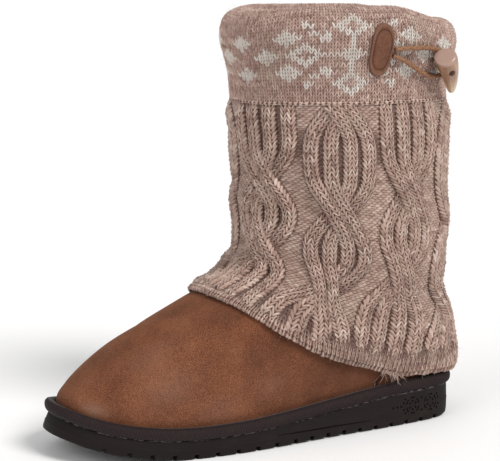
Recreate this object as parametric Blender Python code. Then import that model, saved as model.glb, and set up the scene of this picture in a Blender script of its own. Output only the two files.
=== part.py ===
"""Left mukluk boot: lugged rubber outsole, suede upper, cable-knit sleeve and toggled cuff.

Frame: the heel tread's centre is the origin, the toe points to -Y, the outer side to +X, up is +Z.
Sizes below are in millimetres, and new_object() turns them into metres.
"""
import math

import bmesh
import bpy
import numpy as np
from mathutils import Vector

MM = 0.001
CLEARANCE = 0.3            # gap kept between neighbouring pieces

# Outline of the outsole seen from above, going round from the heel end by the outer side
OUTLINE = (
    # name, x, y
    ("heel end", 0.0, 39.5),
    ("outer heel corner", 28.0, 28.5),
    ("outer heel", 37.0, 2.0),
    ("outer waist", 44.5, -66.0),
    ("outer ball", 50.3, -132.0),
    ("little toe", 47.0, -184.0),
    ("outer toe corner", 35.0, -221.0),
    ("toe end", 0.0, -236.5),
    ("inner toe corner", -34.0, -222.0),
    ("big toe", -48.5, -190.0),
    ("inner ball", -51.0, -150.0),
    ("inner waist", -40.5, -80.0),
    ("inner heel", -37.0, 2.0),
    ("inner heel corner", -28.0, 28.5),
)
HEEL_END = 39.5
TOE_END = -236.5

# Heights of the outsole's tread and top along the foot: level heel, low arch, level ball, toe spring
SOLE_LINE = (
    # y, tread, top
    (39.5, 0.0, 22.0),
    (0.0, 0.0, 21.8),
    (-25.0, 0.0, 20.7),
    (-65.0, 0.8, 17.2),
    (-105.0, 0.4, 13.7),
    (-128.0, 0.0, 12.2),
    (-156.0, 0.0, 11.7),
    (-176.0, 1.0, 12.7),
    (-196.0, 3.7, 15.4),
    (-216.0, 8.0, 19.7),
    (-237.0, 14.7, 26.4),
)
HEEL_TOP = 22.0

TOE_RAKE = 4.5             # the toe's wall leans back by this much from the tread to the top
RAKE_START = -150.0

# Side wall of the outsole, from the tread up: share of the local height, distance out from the outline
SOLE_SIDE = (
    # share, out
    (0.0, -1.5),
    (0.07, -0.2),
    (0.48, 0.2),
    (0.53, -0.7),
    (0.90, -0.9),
    (1.0, -1.4),
)
SOLE_STATIONS = 26         # places along the foot where the sole's outline is set out
LUG_SLOT = 2.8             # width of a slot between two lugs
LUG_DEPTH = 3.0
HEEL_SLOTS = (29.2, 12.3, 11)       # first slot's y, pitch, count
BALL_SLOTS = (-107.5, 13.6, 9)

# Ribbed tape round the joint: distance out from the outline, height over the outsole's top
BINDING_PROFILE = (
    # out, up
    (-3.7, 0.3),
    (0.9, 0.3),
    (1.8, 1.9),
    (1.9, 4.4),
    (1.0, 6.5),
    (-1.0, 7.4),
    (-3.6, 7.0),
)

# Rings of the upper's outer face, from the sole to the collar. height is that of the ring at the heel,
# follow says how far the ring follows the sole's top line, leg how far its plan is the leg's oval
# rather than the sole's outline.
LAST_RINGS = (
    # height, follow, front, back, outer, inner, leg
    (22.3, 1.00, -227.2, 35.2, 46.0, 46.7, 0.00),
    (29.4, 1.00, -227.4, 35.4, 46.2, 46.9, 0.00),
    (33.0, 0.95, -226.6, 36.6, 47.3, 48.0, 0.05),
    (40.0, 0.75, -222.0, 38.0, 47.8, 48.4, 0.15),
    (49.0, 0.50, -213.5, 38.6, 47.4, 47.8, 0.35),
    (60.0, 0.25, -198.5, 37.8, 46.8, 46.6, 0.60),
    (69.0, 0.10, -180.5, 35.5, 46.5, 46.0, 0.80),
    (78.0, 0.00, -159.5, 32.5, 46.6, 45.2, 0.95),
    (86.0, 0.00, -141.0, 30.5, 47.4, 45.4, 1.00),
    (93.0, 0.00, -121.5, 29.5, 48.6, 46.0, 1.00),
    (102.0, 0.00, -107.0, 29.0, 49.6, 46.6, 1.00),
    (112.0, 0.00, -100.8, 28.6, 50.4, 47.0, 1.00),
    (124.0, 0.00, -100.0, 28.2, 51.0, 47.4, 1.00),
    (142.0, 0.00, -99.3, 27.6, 51.6, 47.8, 1.00),
    (183.0, 0.00, -101.0, 28.4, 53.4, 49.4, 1.00),
    (205.0, 0.00, -103.0, 28.6, 53.4, 49.4, 1.00),
    (268.0, 0.00, -105.5, 31.0, 54.0, 50.0, 1.00),
)
FEATHER_INSET = 4.3        # the upper's lower edge lies this far inside the sole's outline
LEG_FULLNESS = 2.15        # exponent of the leg's oval, 2 would be an ellipse
LEG_OVAL = (51.0, 66.0)    # half width and half length of the leg's oval
SHAPE_SAMPLES = 720

UPPER_WALL = 2.2
UPPER_COLUMNS = 48
END_CROWDING = 0.35        # how much closer the upper's columns are at heel and toe
UPPER_ROWS = (22.3, 29.4, 33.5, 40.0, 49.0, 58.0, 66.0, 73.0, 90.0, 99.0, 110.0, 124.0, 150.0, 205.0)
UPPER_INNER_ROWS = (22.3, 36.0, 49.0, 63.0, 79.0, 92.0, 108.0, 135.0, 200.0)
COLLAR_HEIGHT = 252.0
COUNTER_STEP = 0.8         # the heel counter stands this much proud of the quarters
COUNTER_EDGE = 0.139       # share of the way round from the heel to the counter's front seam
COUNTER_HEIGHT = 78.0
SEAM_WIDTH = 0.004

INSOLE_INSET = -7.8
INSOLE_THICKNESS = 4.0

# Hem of the knitted sleeve: share of the way from the heel (0) to the instep (1), height on the last
HEM_LINE = (
    # around, height
    (0.0, 32.6),
    (0.13, 32.8),
    (0.24, 35.5),
    (0.31, 41.4),
    (0.48, 56.8),
    (0.58, 68.4),
    (0.70, 79.7),
    (0.82, 85.9),
    (0.92, 87.6),
    (1.0, 87.8),
)
CUFF_LINE = 207.0
SLEEVE_COLUMNS = 96
SLEEVE_ROWS = 20
SLEEVE_INNER_COLUMNS = 48
SLEEVE_INNER_ROWS = 9
SLEEVE_GAP = 1.35
SLEEVE_WALL = 2.35
HEM_EDGE = 1.0             # thickness of the hem's very edge
HEM_ROLL = 4.0             # height over which the hem's rolled edge swells
END_RIB = 0.35             # share of the ribs' lift that is left at the cuff and in the hem
CUFF_FADE = 6.0            # the ribs are full at this distance below the cuff
HEM_FADE = (2.0, 10.0)     # and between these heights above the hem they rise
HEEL_FLARE = 3.0           # the sleeve stands off this much more behind the heel
HEEL_FLARE_REACH = 0.6     # share of the way to the instep where that ends
HEEL_FLARE_HEIGHT = 55.0

PANELS = 8                 # cable panels round the leg
PANEL_TURN = 5 / 12        # turn of the panels towards the outer side, in panels
FAN = 0.35                 # how much wider the ribs stand at the instep than at the side
LEG_FRONT = -102.0         # front of the leg, where the ribs begin to fan out
RIBS = 4                   # ribs in a panel
RIB_WIDTH = 0.19           # in panels
RIB_LIFT = 3.2
CROSS_LIFT = 1.3           # lift of the strand in front, in ribs
UNDER_LIFT = 0.45          # lift of the strand behind
CROSS_SPAN = 0.115         # half height of a crossing, share of the sleeve's height
CROSS_PINCH = 0.32         # how much the ribs draw together at a crossing

# Crossings of the cables, as shares of the way from the cuff down to the hem
CROSSINGS = (
    # panels, places
    ("odd", (0.04, 0.50, 0.80)),
    ("even", (0.35, 0.65)),
)

# Cuff from its seam over the roll to its inner edge: distance out from the last, height
CUFF_OUTER = (
    # out, height
    (4.4, 207.4),
    (4.8, 217.0),
    (6.8, 232.0),
    (9.4, 245.0),
    (9.2, 253.5),
    (6.6, 260.5),
    (2.4, 263.9),
    (-2.0, 265.0),
    (-6.0, 263.0),
    (-8.2, 258.0),
    (-8.0, 240.0),
)
CUFF_WALL = 2.6
CUFF_TOP = 265.0
RIM_DIPS = (
    # around, reach, depth
    (0.045, 0.20, 8.5),
    (0.50, 0.16, 2.5),
)
CUFF_COLUMNS = 48

# Oval patch on the cuff's outer side
PATCH_PLACE = (0.268, 240.0)        # around, height
PATCH_SIZE = (16.0, 31.5)
PATCH_TILT = 5.0                    # degrees, the top towards the heel
PATCH_FULLNESS = 2.5
PATCH_THICKNESS = 2.5
PATCH_COLUMNS = 20

# Elastic loop, from the patch round the toggle's tie and back
LOOP_DIAMETER = 2.5
LOOP_LIFT = 1.7                     # its centre line over the cuff
LOOP_POINTS = 24
LOOP_ROUTE = (
    # around, height on the cuff
    (0.2452, 241.0),
    (0.230, 242.2),
    (0.210, 243.4),
    (0.187, 244.7),
    (0.162, 244.0),
    (0.136, 240.5),
    (0.120, 234.0),
    (0.129, 227.0),
    (0.148, 223.2),
    (0.168, 223.2),
    (0.187, 225.8),
    (0.208, 229.6),
    (0.229, 233.6),
    (0.2462, 236.8),
)

# Horn-shaped toggle: centres of its cut end and of its tip, and radii along it
TOGGLE_CAP = (65.4, -1.0, 234.4)
TOGGLE_TIP = (47.9, 16.3, 211.3)
TOGGLE_BEND = 1.6                   # the middle stands out by this much
TOGGLE_PROFILE = (
    # share, radius
    (0.0, 6.3),
    (0.03, 6.9),
    (0.14, 6.9),
    (0.36, 6.1),
    (0.6, 4.8),
    (0.8, 3.5),
    (0.93, 2.3),
    (1.0, 1.0),
)
TOGGLE_COLUMNS = 18
HOLE_SHARE = 0.40
HOLE_RADIUS = 1.9
TIE_PLACE = (0.150, 228.0)          # where the tie leaves the cuff: around, height
TIE_PROFILE = (
    # share, radius
    (0.0, 0.8),
    (0.84, 0.8),
    (0.88, 1.4),
    (0.96, 1.4),
    (1.0, 0.7),
)
TIE_COLUMNS = 10


def ease(t):
    """Smooth step from 0 to 1."""
    t = np.clip(t, 0, 1)
    return t * t * (3 - 2 * t)


def monotone(table, column, at):
    """Smooth curve through a table's column that never overshoots its values.

    The first column holds the places, in rising or falling order.
    """
    rows = sorted((row for row in table), key=lambda row: row[0])
    x = np.array([row[0] for row in rows])
    y = np.array([row[column] for row in rows])
    step = np.diff(x)
    slope = np.diff(y) / step
    tangent = np.zeros(len(x))
    for i in range(1, len(x) - 1):
        if slope[i - 1] * slope[i] > 0:
            before = 2 * step[i] + step[i - 1]
            after = step[i] + 2 * step[i - 1]
            tangent[i] = (before + after) / (before / slope[i - 1] + after / slope[i])
    tangent[0] = slope[0]
    tangent[-1] = slope[-1]
    at = np.clip(np.asarray(at, dtype=float), x[0], x[-1])
    i = np.clip(np.searchsorted(x, at, side="right") - 1, 0, len(x) - 2)
    h = step[i]
    t = (at - x[i]) / h
    return ((2 * t ** 3 - 3 * t ** 2 + 1) * y[i] + (t ** 3 - 2 * t ** 2 + t) * h * tangent[i]
            + (3 * t ** 2 - 2 * t ** 3) * y[i + 1] + (t ** 3 - t ** 2) * h * tangent[i + 1])


def closed_spline(points, count):
    """Smooth closed curve through the points, as count points evenly spaced along it."""
    points = np.array(points, dtype=float)
    n = len(points)
    chord = np.linalg.norm(np.roll(points, -1, axis=0) - points, axis=1)
    system = np.zeros((n, n))
    right = np.zeros((n, 2))
    for i in range(n):
        before = chord[i - 1]
        after = chord[i]
        system[i, i - 1] = after
        system[i, i] = 2 * (before + after)
        system[i, (i + 1) % n] = before
        right[i] = 3 * (after * (points[i] - points[i - 1]) / before
                        + before * (points[(i + 1) % n] - points[i]) / after)
    tangent = np.linalg.solve(system, right)
    curve = []
    for i in range(n):
        j = (i + 1) % n
        for t in np.linspace(0, 1, 40, endpoint=False):
            curve.append((2 * t ** 3 - 3 * t ** 2 + 1) * points[i]
                         + (t ** 3 - 2 * t ** 2 + t) * chord[i] * tangent[i]
                         + (3 * t ** 2 - 2 * t ** 3) * points[j]
                         + (t ** 3 - t ** 2) * chord[i] * tangent[j])
    return even_spacing(np.array(curve + [curve[0]]), count + 1)[:-1]


def even_spacing(curve, count):
    """The curve's count points that are evenly spaced along its length, ends included."""
    length = np.r_[0, np.cumsum(np.linalg.norm(np.diff(curve, axis=0), axis=1))]
    places = np.linspace(0, length[-1], count)
    return np.stack([np.interp(places, length, curve[:, k]) for k in range(curve.shape[1])], axis=1)


def halves_from_heel(curve):
    """A closed curve split at its heel and toe: the outer half and the inner half, both from the heel."""
    curve = np.roll(curve, -int(np.argmax(curve[:, 1])), axis=0)
    toe = int(np.argmin(curve[:, 1]))
    outer = curve[:toe + 1]
    inner = np.vstack([curve[toe:], curve[:1]])[::-1]
    if outer[len(outer) // 2, 0] < 0:
        outer, inner = inner, outer
    return outer, inner


SOLE_HALVES = halves_from_heel(closed_spline([row[1:] for row in OUTLINE], SHAPE_SAMPLES))


def sole_tread(y):
    """Height of the tread at y."""
    return monotone(SOLE_LINE, 1, y)


def sole_top(y):
    """Height of the outsole's top at y."""
    return monotone(SOLE_LINE, 2, y)


def moved_out(half, out):
    """Half of the sole's outline moved outwards by out."""
    tangent = np.gradient(half, axis=0)
    normal = np.stack([tangent[:, 1], -tangent[:, 0]], axis=1)
    normal /= np.linalg.norm(normal, axis=1)[:, None]
    if normal[len(half) // 2, 0] * half[len(half) // 2, 0] < 0:
        normal = -normal
    return half + out * normal


def raked(points, share):
    """Plan points with the toe leaned back, by a share of the whole rake."""
    lean = ease((RAKE_START - points[:, 1]) / (RAKE_START - TOE_END))
    return np.column_stack([points[:, 0], points[:, 1] + share * TOE_RAKE * lean])


def outline_ring(out, rake):
    """The sole's outline moved outwards by out, from the heel by the outer side, set out in stations.

    Places k and -k have the same y before the offset, so strips across the foot join them.
    """
    middle = 0.5 * (HEEL_END + TOE_END)
    reach = 0.5 * (HEEL_END - TOE_END)
    stations = middle + reach * np.cos(np.linspace(0, math.pi, SOLE_STATIONS + 1))
    sides = []
    for half in SOLE_HALVES:
        index = np.arange(len(half))
        place = np.interp(-stations, -half[:, 1], index)
        moved = raked(moved_out(half, out), rake)
        sides.append(np.stack([np.interp(place, index, moved[:, k]) for k in range(2)], axis=1))
    outer, inner = sides
    ends = 0.5 * (outer[[0, -1]] + inner[[0, -1]])
    outer[[0, -1]] = ends
    return np.vstack([outer, inner[1:-1][::-1]])


def leg_halves():
    """The leg's oval as its outer and inner halves from the back, in the shape of SOLE_HALVES."""
    turn = np.linspace(0, math.pi, SHAPE_SAMPLES)
    power = 2 / LEG_FULLNESS
    x = LEG_OVAL[0] * np.abs(np.sin(turn)) ** power
    y = LEG_OVAL[1] * np.sign(np.cos(turn)) * np.abs(np.cos(turn)) ** power
    half = np.stack([x, y], axis=1)
    return half, half * (-1, 1)


def unit_shape(halves):
    """Plan of a ring as tables over the way round: x from -1 to 1 and y from 0 (front) to 1 (back)."""
    outer, inner = (even_spacing(half, SHAPE_SAMPLES + 1) for half in halves)
    outer = outer / (outer[:, 0].max(), 1)
    inner = inner / (-inner[:, 0].min(), 1)
    loop = np.vstack([outer, inner[::-1][1:]])
    low = loop[:, 1].min()
    high = loop[:, 1].max()
    return loop[:, 0], (loop[:, 1] - low) / (high - low)


SOLE_SHAPE = unit_shape([raked(moved_out(half, -FEATHER_INSET), 1.0) for half in SOLE_HALVES])
LEG_SHAPE = unit_shape(leg_halves())


def last_point(around, height):
    """Points on the upper's outer face.

    around runs from 0 at the heel by the outer side to 0.5 at the toe and back to 1, and height picks
    the ring, as in LAST_RINGS.
    """
    around = np.mod(around, 1.0)
    place = around * (len(SOLE_SHAPE[0]) - 1)
    index = np.arange(len(SOLE_SHAPE[0]))
    follow, front, back, outer, inner, leg = (monotone(LAST_RINGS, k, height) for k in range(1, 7))
    x = (1 - leg) * np.interp(place, index, SOLE_SHAPE[0]) + leg * np.interp(place, index, LEG_SHAPE[0])
    y = (1 - leg) * np.interp(place, index, SOLE_SHAPE[1]) + leg * np.interp(place, index, LEG_SHAPE[1])
    x = np.where(x > 0, x * outer, x * inner)
    y = front + y * (back - front)
    z = height + follow * (sole_top(y) - HEEL_TOP)
    return np.stack(np.broadcast_arrays(x, y, z), axis=-1)


def last_offset(around, height, out):
    """Points that stand out from the upper's outer face by the distance out."""
    around, height, out = np.broadcast_arrays(np.asarray(around, float), np.asarray(height, float),
                                              np.asarray(out, float))
    lowest = LAST_RINGS[0][0]
    highest = LAST_RINGS[-1][0]
    along = last_point(around + 0.002, height) - last_point(around - 0.002, height)
    upper_place = np.clip(height + 0.5, lowest, highest)
    lower_place = np.clip(height - 0.5, lowest, highest)
    up = last_point(around, upper_place) - last_point(around, lower_place)
    normal = np.cross(up, along)
    normal /= np.linalg.norm(normal, axis=-1)[..., None]
    return last_point(around, height) + normal * out[..., None]


def fan(around, height):
    """Place round the last where a rib of the sleeve runs, which fans out over the foot.

    The ribs spread towards the instep, and those at the side stay nearly upright.
    """
    reach = (LEG_FRONT - monotone(LAST_RINGS, 2, height)) / (LEG_FRONT - TOE_END)
    half_way = 1 - np.abs(1 - 2 * np.mod(around, 1.0))
    moved = 0.5 * half_way ** (1 + FAN * np.clip(reach, 0, 1))
    return np.where(np.mod(around, 1.0) < 0.5, moved, 1 - moved)


def hem_height(around):
    """Height of the sleeve's hem on the last."""
    half_way = 1 - np.abs(1 - 2 * np.mod(around, 1.0))
    return monotone(HEM_LINE, 1, half_way)


def climb(around, share):
    """Places and ring heights of the sleeve's columns, at shares of the way from the hem to the cuff."""
    low = hem_height(around)
    for _ in range(12):
        low = hem_height(fan(around, low))
    steps = np.linspace(0, 1, 80)
    heights = []
    for column, start in zip(around, low):
        ladder = start + (CUFF_LINE - start) * steps
        path = last_point(fan(column, ladder), ladder)
        length = np.r_[0, np.cumsum(np.linalg.norm(np.diff(path, axis=0), axis=1))]
        heights.append(np.interp(share * length[-1], length, ladder))
    heights = np.array(heights).T
    return fan(around, heights), heights


def cable_lift(around, down):
    """How far the ribs and cables stand up, in ribs, at a place down the sleeve (0 cuff, 1 hem)."""
    around, down = np.broadcast_arrays(around, down)
    place = (0.5 - around) * PANELS - PANEL_TURN
    panel = np.floor(place + 0.5)
    across = place - panel
    odd = np.mod(panel, 2) > 0.5
    lift = np.zeros(around.shape)
    for rib in range(RIBS):
        slot = (rib + 0.5) / RIBS - 0.5
        outer_pair = rib >= RIBS // 2
        centre = np.full(around.shape, slot)
        rise = np.ones(around.shape)
        for kind, places in CROSSINGS:
            mine = odd if kind == "odd" else ~odd
            for crossing in places:
                phase = (down - crossing) / CROSS_SPAN
                near = mine & (np.abs(phase) < 1)
                swap = ease(0.5 + 0.5 * phase)
                bell = np.cos(0.5 * math.pi * np.clip(phase, -1, 1)) ** 2
                # the inner pair runs down across the front, the outer pair passes behind it
                shift = -0.5 * swap if outer_pair else 0.5 * swap
                crossed = (slot + shift) * (1 - CROSS_PINCH * bell)
                centre = np.where(near, crossed, centre)
                peak = UNDER_LIFT if outer_pair else CROSS_LIFT
                rise = np.where(near, 1 + (peak - 1) * bell, rise)
        bump = np.clip(1 - ((across - centre) / (0.5 * RIB_WIDTH)) ** 2, 0, None)
        lift = np.maximum(lift, rise * np.sqrt(bump))
    return lift


def sleeve_inner(around, above_hem):
    """Distance of the sleeve's inner face from the last: it stands off behind the heel."""
    to_heel = 1 - (1 - np.abs(1 - 2 * np.mod(around, 1.0))) / HEEL_FLARE_REACH
    return SLEEVE_GAP + HEEL_FLARE * ease(to_heel) * ease(1 - above_hem / HEEL_FLARE_HEIGHT)


def sleeve_outer(around, down, below_cuff, above_hem):
    """Distance of the sleeve's outer face from the last, with its ribs and its rolled hem."""
    full = ease(below_cuff / CUFF_FADE) * ease((above_hem - HEM_FADE[0]) / (HEM_FADE[1] - HEM_FADE[0]))
    rib = RIB_LIFT * cable_lift(around, down) * (END_RIB + (1 - END_RIB) * full)
    roll = np.sqrt(np.clip(above_hem / HEM_ROLL, 0, 1))
    return sleeve_inner(around, above_hem) + HEM_EDGE + (SLEEVE_WALL + rib - HEM_EDGE) * roll


def sagged(around, height):
    """Height of a place on the cuff, whose rim dips at the toggle and at the front."""
    share = ease((height - CUFF_LINE) / (CUFF_TOP - CUFF_LINE))
    for centre, reach, depth in RIM_DIPS:
        away = np.abs(np.mod(around - centre + 0.5, 1.0) - 0.5)
        height = height - depth * share * ease(1.5 * (1 - away / reach))
    return height


def cuff_point(around, height, extra=0.0):
    """Points on the cuff's outer wall, or standing out from it by extra."""
    rising = [(row[1], row[0]) for row in CUFF_OUTER[:6]]
    return last_offset(around, sagged(around, height), monotone(rising, 1, height) + extra)


def material(name, colour, roughness, metallic=0.0):
    """Plain surface of one colour."""
    new = bpy.data.materials.new(name)
    new.use_nodes = True
    shader = new.node_tree.nodes["Principled BSDF"]
    shader.inputs["Base Color"].default_value = (*colour, 1.0)
    shader.inputs["Roughness"].default_value = roughness
    shader.inputs["Metallic"].default_value = metallic
    return new


def new_object(name, bm, finish, smooth=True):
    """Finish a closed mesh as a named object."""
    bmesh.ops.recalc_face_normals(bm, faces=bm.faces)
    bmesh.ops.scale(bm, vec=(MM, MM, MM), verts=bm.verts)
    mesh = bpy.data.meshes.new(name)
    bm.to_mesh(mesh)
    bm.free()
    mesh.materials.append(finish)
    if smooth:
        mesh.shade_smooth()
        mesh.set_sharp_from_angle(angle=math.radians(40))
    made = bpy.data.objects.new(name, mesh)
    bpy.context.scene.collection.objects.link(made)
    return made


def add_ring(bm, points):
    """Vertices of one ring."""
    return [bm.verts.new(point) for point in points]


def join_rings(bm, first, second):
    """Wall of quads between two rings of equal count."""
    for i in range(len(first)):
        j = (i + 1) % len(first)
        bm.faces.new((first[i], first[j], second[j], second[i]))


def add_tube(bm, rings):
    """Open wall through a pile of rings; gives its first and last ring."""
    made = [add_ring(bm, ring) for ring in rings]
    for first, second in zip(made, made[1:]):
        join_rings(bm, first, second)
    return made[0], made[-1]


def ring_edges(bm, ring):
    """Edges that run round a ring."""
    return [bm.edges.get((ring[i - 1], ring[i])) for i in range(len(ring))]


def close_rims(bm, first, second):
    """Rim between two rings, whose counts may differ."""
    bmesh.ops.bridge_loops(bm, edges=ring_edges(bm, first) + ring_edges(bm, second))


def cap_across(bm, ring):
    """Cap of strips across a ring set out in stations, as outline_ring makes it."""
    half = len(ring) // 2
    for k in range(half):
        corners = [ring[k], ring[k + 1], ring[-k - 1], ring[-k]]
        if k == 0:
            corners = [ring[0], ring[1], ring[-1]]
        elif k == half - 1:
            corners = [ring[k], ring[half], ring[-k]]
        bm.faces.new(corners)


def sole_ring(out, share=0.0, above=None):
    """Ring round the sole at a share of its height, or at a height above its top."""
    ring = outline_ring(out, share if above is None else 1.0)
    tread = sole_tread(ring[:, 1])
    top = sole_top(ring[:, 1])
    height = tread + share * (top - tread) if above is None else top + above
    return np.column_stack([ring, height])


def slot_cutter(places):
    """Bars that cut the slots between the lugs."""
    bm = bmesh.new()
    for y in places:
        bar = bmesh.ops.create_cube(bm, size=1.0)["verts"]
        bmesh.ops.scale(bm, vec=(160, LUG_SLOT, 2 * LUG_DEPTH), verts=bar)
        bmesh.ops.translate(bm, vec=(0, y, float(sole_tread(y))), verts=bar)
    cutter = new_object("slot_cutter", bm, material("cutter", (0.5, 0.5, 0.5), 0.5), smooth=False)
    cutter.hide_render = True
    cutter.display_type = "WIRE"
    return cutter


def outsole():
    """Rubber outsole with its stepped side and the slots between its lugs."""
    bm = bmesh.new()
    low, high = add_tube(bm, [sole_ring(out, share) for share, out in SOLE_SIDE])
    cap_across(bm, low)
    cap_across(bm, high)
    body = new_object("outsole", bm, material("rubber", (0.035, 0.028, 0.027), 0.62), smooth=False)
    places = []
    for first, pitch, count in (HEEL_SLOTS, BALL_SLOTS):
        places += [first - pitch * k for k in range(count)]
    cut = body.modifiers.new("slots", "BOOLEAN")
    cut.operation = "DIFFERENCE"
    cut.solver = "EXACT"
    cut.object = slot_cutter(places)
    return body


def binding():
    """Tape round the joint between outsole and upper."""
    bm = bmesh.new()
    rings = [add_ring(bm, sole_ring(out, above=up)) for out, up in BINDING_PROFILE]
    for first, second in zip(rings, rings[1:] + rings[:1]):
        join_rings(bm, first, second)
    return new_object("binding", bm, material("tape", (0.055, 0.03, 0.03), 0.8))


def insole():
    """Soft footbed."""
    bm = bmesh.new()
    low, high = add_tube(bm, [
        sole_ring(INSOLE_INSET, above=CLEARANCE),
        sole_ring(INSOLE_INSET, above=INSOLE_THICKNESS - 1.0),
        sole_ring(INSOLE_INSET - 1.2, above=INSOLE_THICKNESS),
    ])
    cap_across(bm, low)
    cap_across(bm, high)
    return new_object("insole", bm, material("fleece", (0.72, 0.6, 0.47), 0.95))


def columns(count):
    """Places round the last, closer together at the heel and the toe."""
    even = np.arange(count) / count
    return even - END_CROWDING / (4 * math.pi) * np.sin(4 * math.pi * even)


def round_grid(around, heights, out):
    """Rings of the last's offset surface, a ring for each row of heights."""
    around = np.broadcast_to(around, np.shape(heights))
    return [last_offset(*ring) for ring in zip(around, heights, out)]


def upper():
    """Suede foot and shaft as one hollow wall, the heel counter standing proud as a step."""
    seams = []
    for side in (COUNTER_EDGE, 1 - COUNTER_EDGE):
        seams += [side - SEAM_WIDTH / 2, side + SEAM_WIDTH / 2]
    clear = 0.4 / UPPER_COLUMNS
    plain = [k for k in columns(UPPER_COLUMNS) if min(abs(k - seam) for seam in seams) > clear]
    around = np.array(sorted(plain + seams))
    rows = (*UPPER_ROWS[:8], COUNTER_HEIGHT, COUNTER_HEIGHT + 1.5, *UPPER_ROWS[8:], COLLAR_HEIGHT)
    counter = (around < COUNTER_EDGE) | (around > 1 - COUNTER_EDGE)
    heights = [np.full(len(around), row) for row in rows]
    out = [np.where(counter & (30 < row) & (row <= COUNTER_HEIGHT), COUNTER_STEP, 0.0) for row in rows]
    bm = bmesh.new()
    low, high = add_tube(bm, round_grid(around, heights, out))
    lining = columns(UPPER_COLUMNS)
    rows = (*UPPER_INNER_ROWS, COLLAR_HEIGHT)
    heights = [np.full(len(lining), row) for row in rows]
    inner_low, inner_high = add_tube(bm, round_grid(lining, heights, [-UPPER_WALL] * len(rows)))
    close_rims(bm, low, inner_low)
    close_rims(bm, high, inner_high)
    return new_object("upper", bm, material("suede", (0.36, 0.16, 0.075), 0.92))


def sleeve():
    """Knitted leg cover: one wall with its ribs and crossing cables raised."""
    knit = np.arange(SLEEVE_COLUMNS) / SLEEVE_COLUMNS
    share = np.r_[0, 0.012, 0.035, np.linspace(0.07, 1, SLEEVE_ROWS - 3)]
    around, heights = climb(knit, share)
    length = CUFF_LINE - heights[0]
    out = [sleeve_outer(knit, 1 - s, (1 - s) * length, s * length) for s in share]
    bm = bmesh.new()
    low, high = add_tube(bm, round_grid(around, heights, out))
    lining = columns(SLEEVE_INNER_COLUMNS)
    share = np.linspace(0, 1, SLEEVE_INNER_ROWS)
    around, heights = climb(lining, share)
    length = CUFF_LINE - heights[0]
    out = [sleeve_inner(lining, s * length) for s in share]
    inner_low, inner_high = add_tube(bm, round_grid(around, heights, out))
    close_rims(bm, low, inner_low)
    close_rims(bm, high, inner_high)
    return new_object("sleeve", bm, material("taupe knit", (0.42, 0.33, 0.28), 0.95))


def offset_path(points, distance):
    """A path in a plane moved to its right by the distance."""
    points = np.array(points, dtype=float)
    tangent = np.gradient(points, axis=0)
    normal = np.stack([tangent[:, 1], -tangent[:, 0]], axis=1)
    normal /= np.linalg.norm(normal, axis=1)[:, None]
    return points + distance * normal


def cuff():
    """Flared band that rolls over the collar."""
    outer = np.array(CUFF_OUTER)
    inner = offset_path(CUFF_OUTER, -CUFF_WALL)[::2]
    inner[0, 1] = outer[0, 1]
    profile = np.vstack([outer, inner[::-1]])
    around = np.arange(CUFF_COLUMNS) / CUFF_COLUMNS
    bm = bmesh.new()
    rings = [add_ring(bm, last_offset(around, sagged(around, height), out)) for out, height in profile]
    for first, second in zip(rings, rings[1:] + rings[:1]):
        join_rings(bm, first, second)
    return new_object("cuff", bm, material("rosy knit", (0.5, 0.36, 0.3), 0.95))


def open_spline(points, count):
    """Smooth open curve through the points, as count evenly spaced points."""
    points = np.array(points, dtype=float)
    tangent = np.gradient(points, axis=0)
    curve = []
    for i in range(len(points) - 1):
        for t in np.linspace(0, 1, 16, endpoint=False):
            curve.append((2 * t ** 3 - 3 * t ** 2 + 1) * points[i]
                         + (t ** 3 - 2 * t ** 2 + t) * tangent[i]
                         + (3 * t ** 2 - 2 * t ** 3) * points[i + 1]
                         + (t ** 3 - t ** 2) * tangent[i + 1])
    return even_spacing(np.array(curve + [points[-1]]), count)


def patch_ring(scale, lift):
    """Oval on the cuff, at a share of the patch's size, standing out by lift."""
    turn = np.linspace(0, 2 * math.pi, PATCH_COLUMNS, endpoint=False)
    power = 2 / PATCH_FULLNESS
    x = 0.5 * scale * PATCH_SIZE[0] * np.sign(np.cos(turn)) * np.abs(np.cos(turn)) ** power
    y = 0.5 * scale * PATCH_SIZE[1] * np.sign(np.sin(turn)) * np.abs(np.sin(turn)) ** power
    tilt = math.radians(PATCH_TILT)
    across = x * math.cos(tilt) + y * math.sin(tilt)
    upwards = y * math.cos(tilt) - x * math.sin(tilt)
    around, height = PATCH_PLACE
    sides = cuff_point(np.array([around - 0.01, around + 0.01]), height)
    turn_length = np.linalg.norm(sides[1] - sides[0]) / 0.02
    return cuff_point(around - across / turn_length, height + upwards, lift)


def patch():
    """Oval suede patch that follows the cuff."""
    bm = bmesh.new()
    low, high = add_tube(bm, [
        patch_ring(0.5, CLEARANCE),
        patch_ring(1.0, CLEARANCE),
        patch_ring(1.0, CLEARANCE + PATCH_THICKNESS - 0.7),
        patch_ring(0.92, CLEARANCE + PATCH_THICKNESS),
        patch_ring(0.5, CLEARANCE + PATCH_THICKNESS),
    ])
    for ring, lift in ((low, CLEARANCE), (high, CLEARANCE + PATCH_THICKNESS)):
        centre = bm.verts.new(cuff_point(*PATCH_PLACE, lift))
        for i in range(PATCH_COLUMNS):
            bm.faces.new((ring[i - 1], ring[i], centre))
    return new_object("patch", bm, material("patch suede", (0.2, 0.085, 0.045), 0.9))


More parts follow.
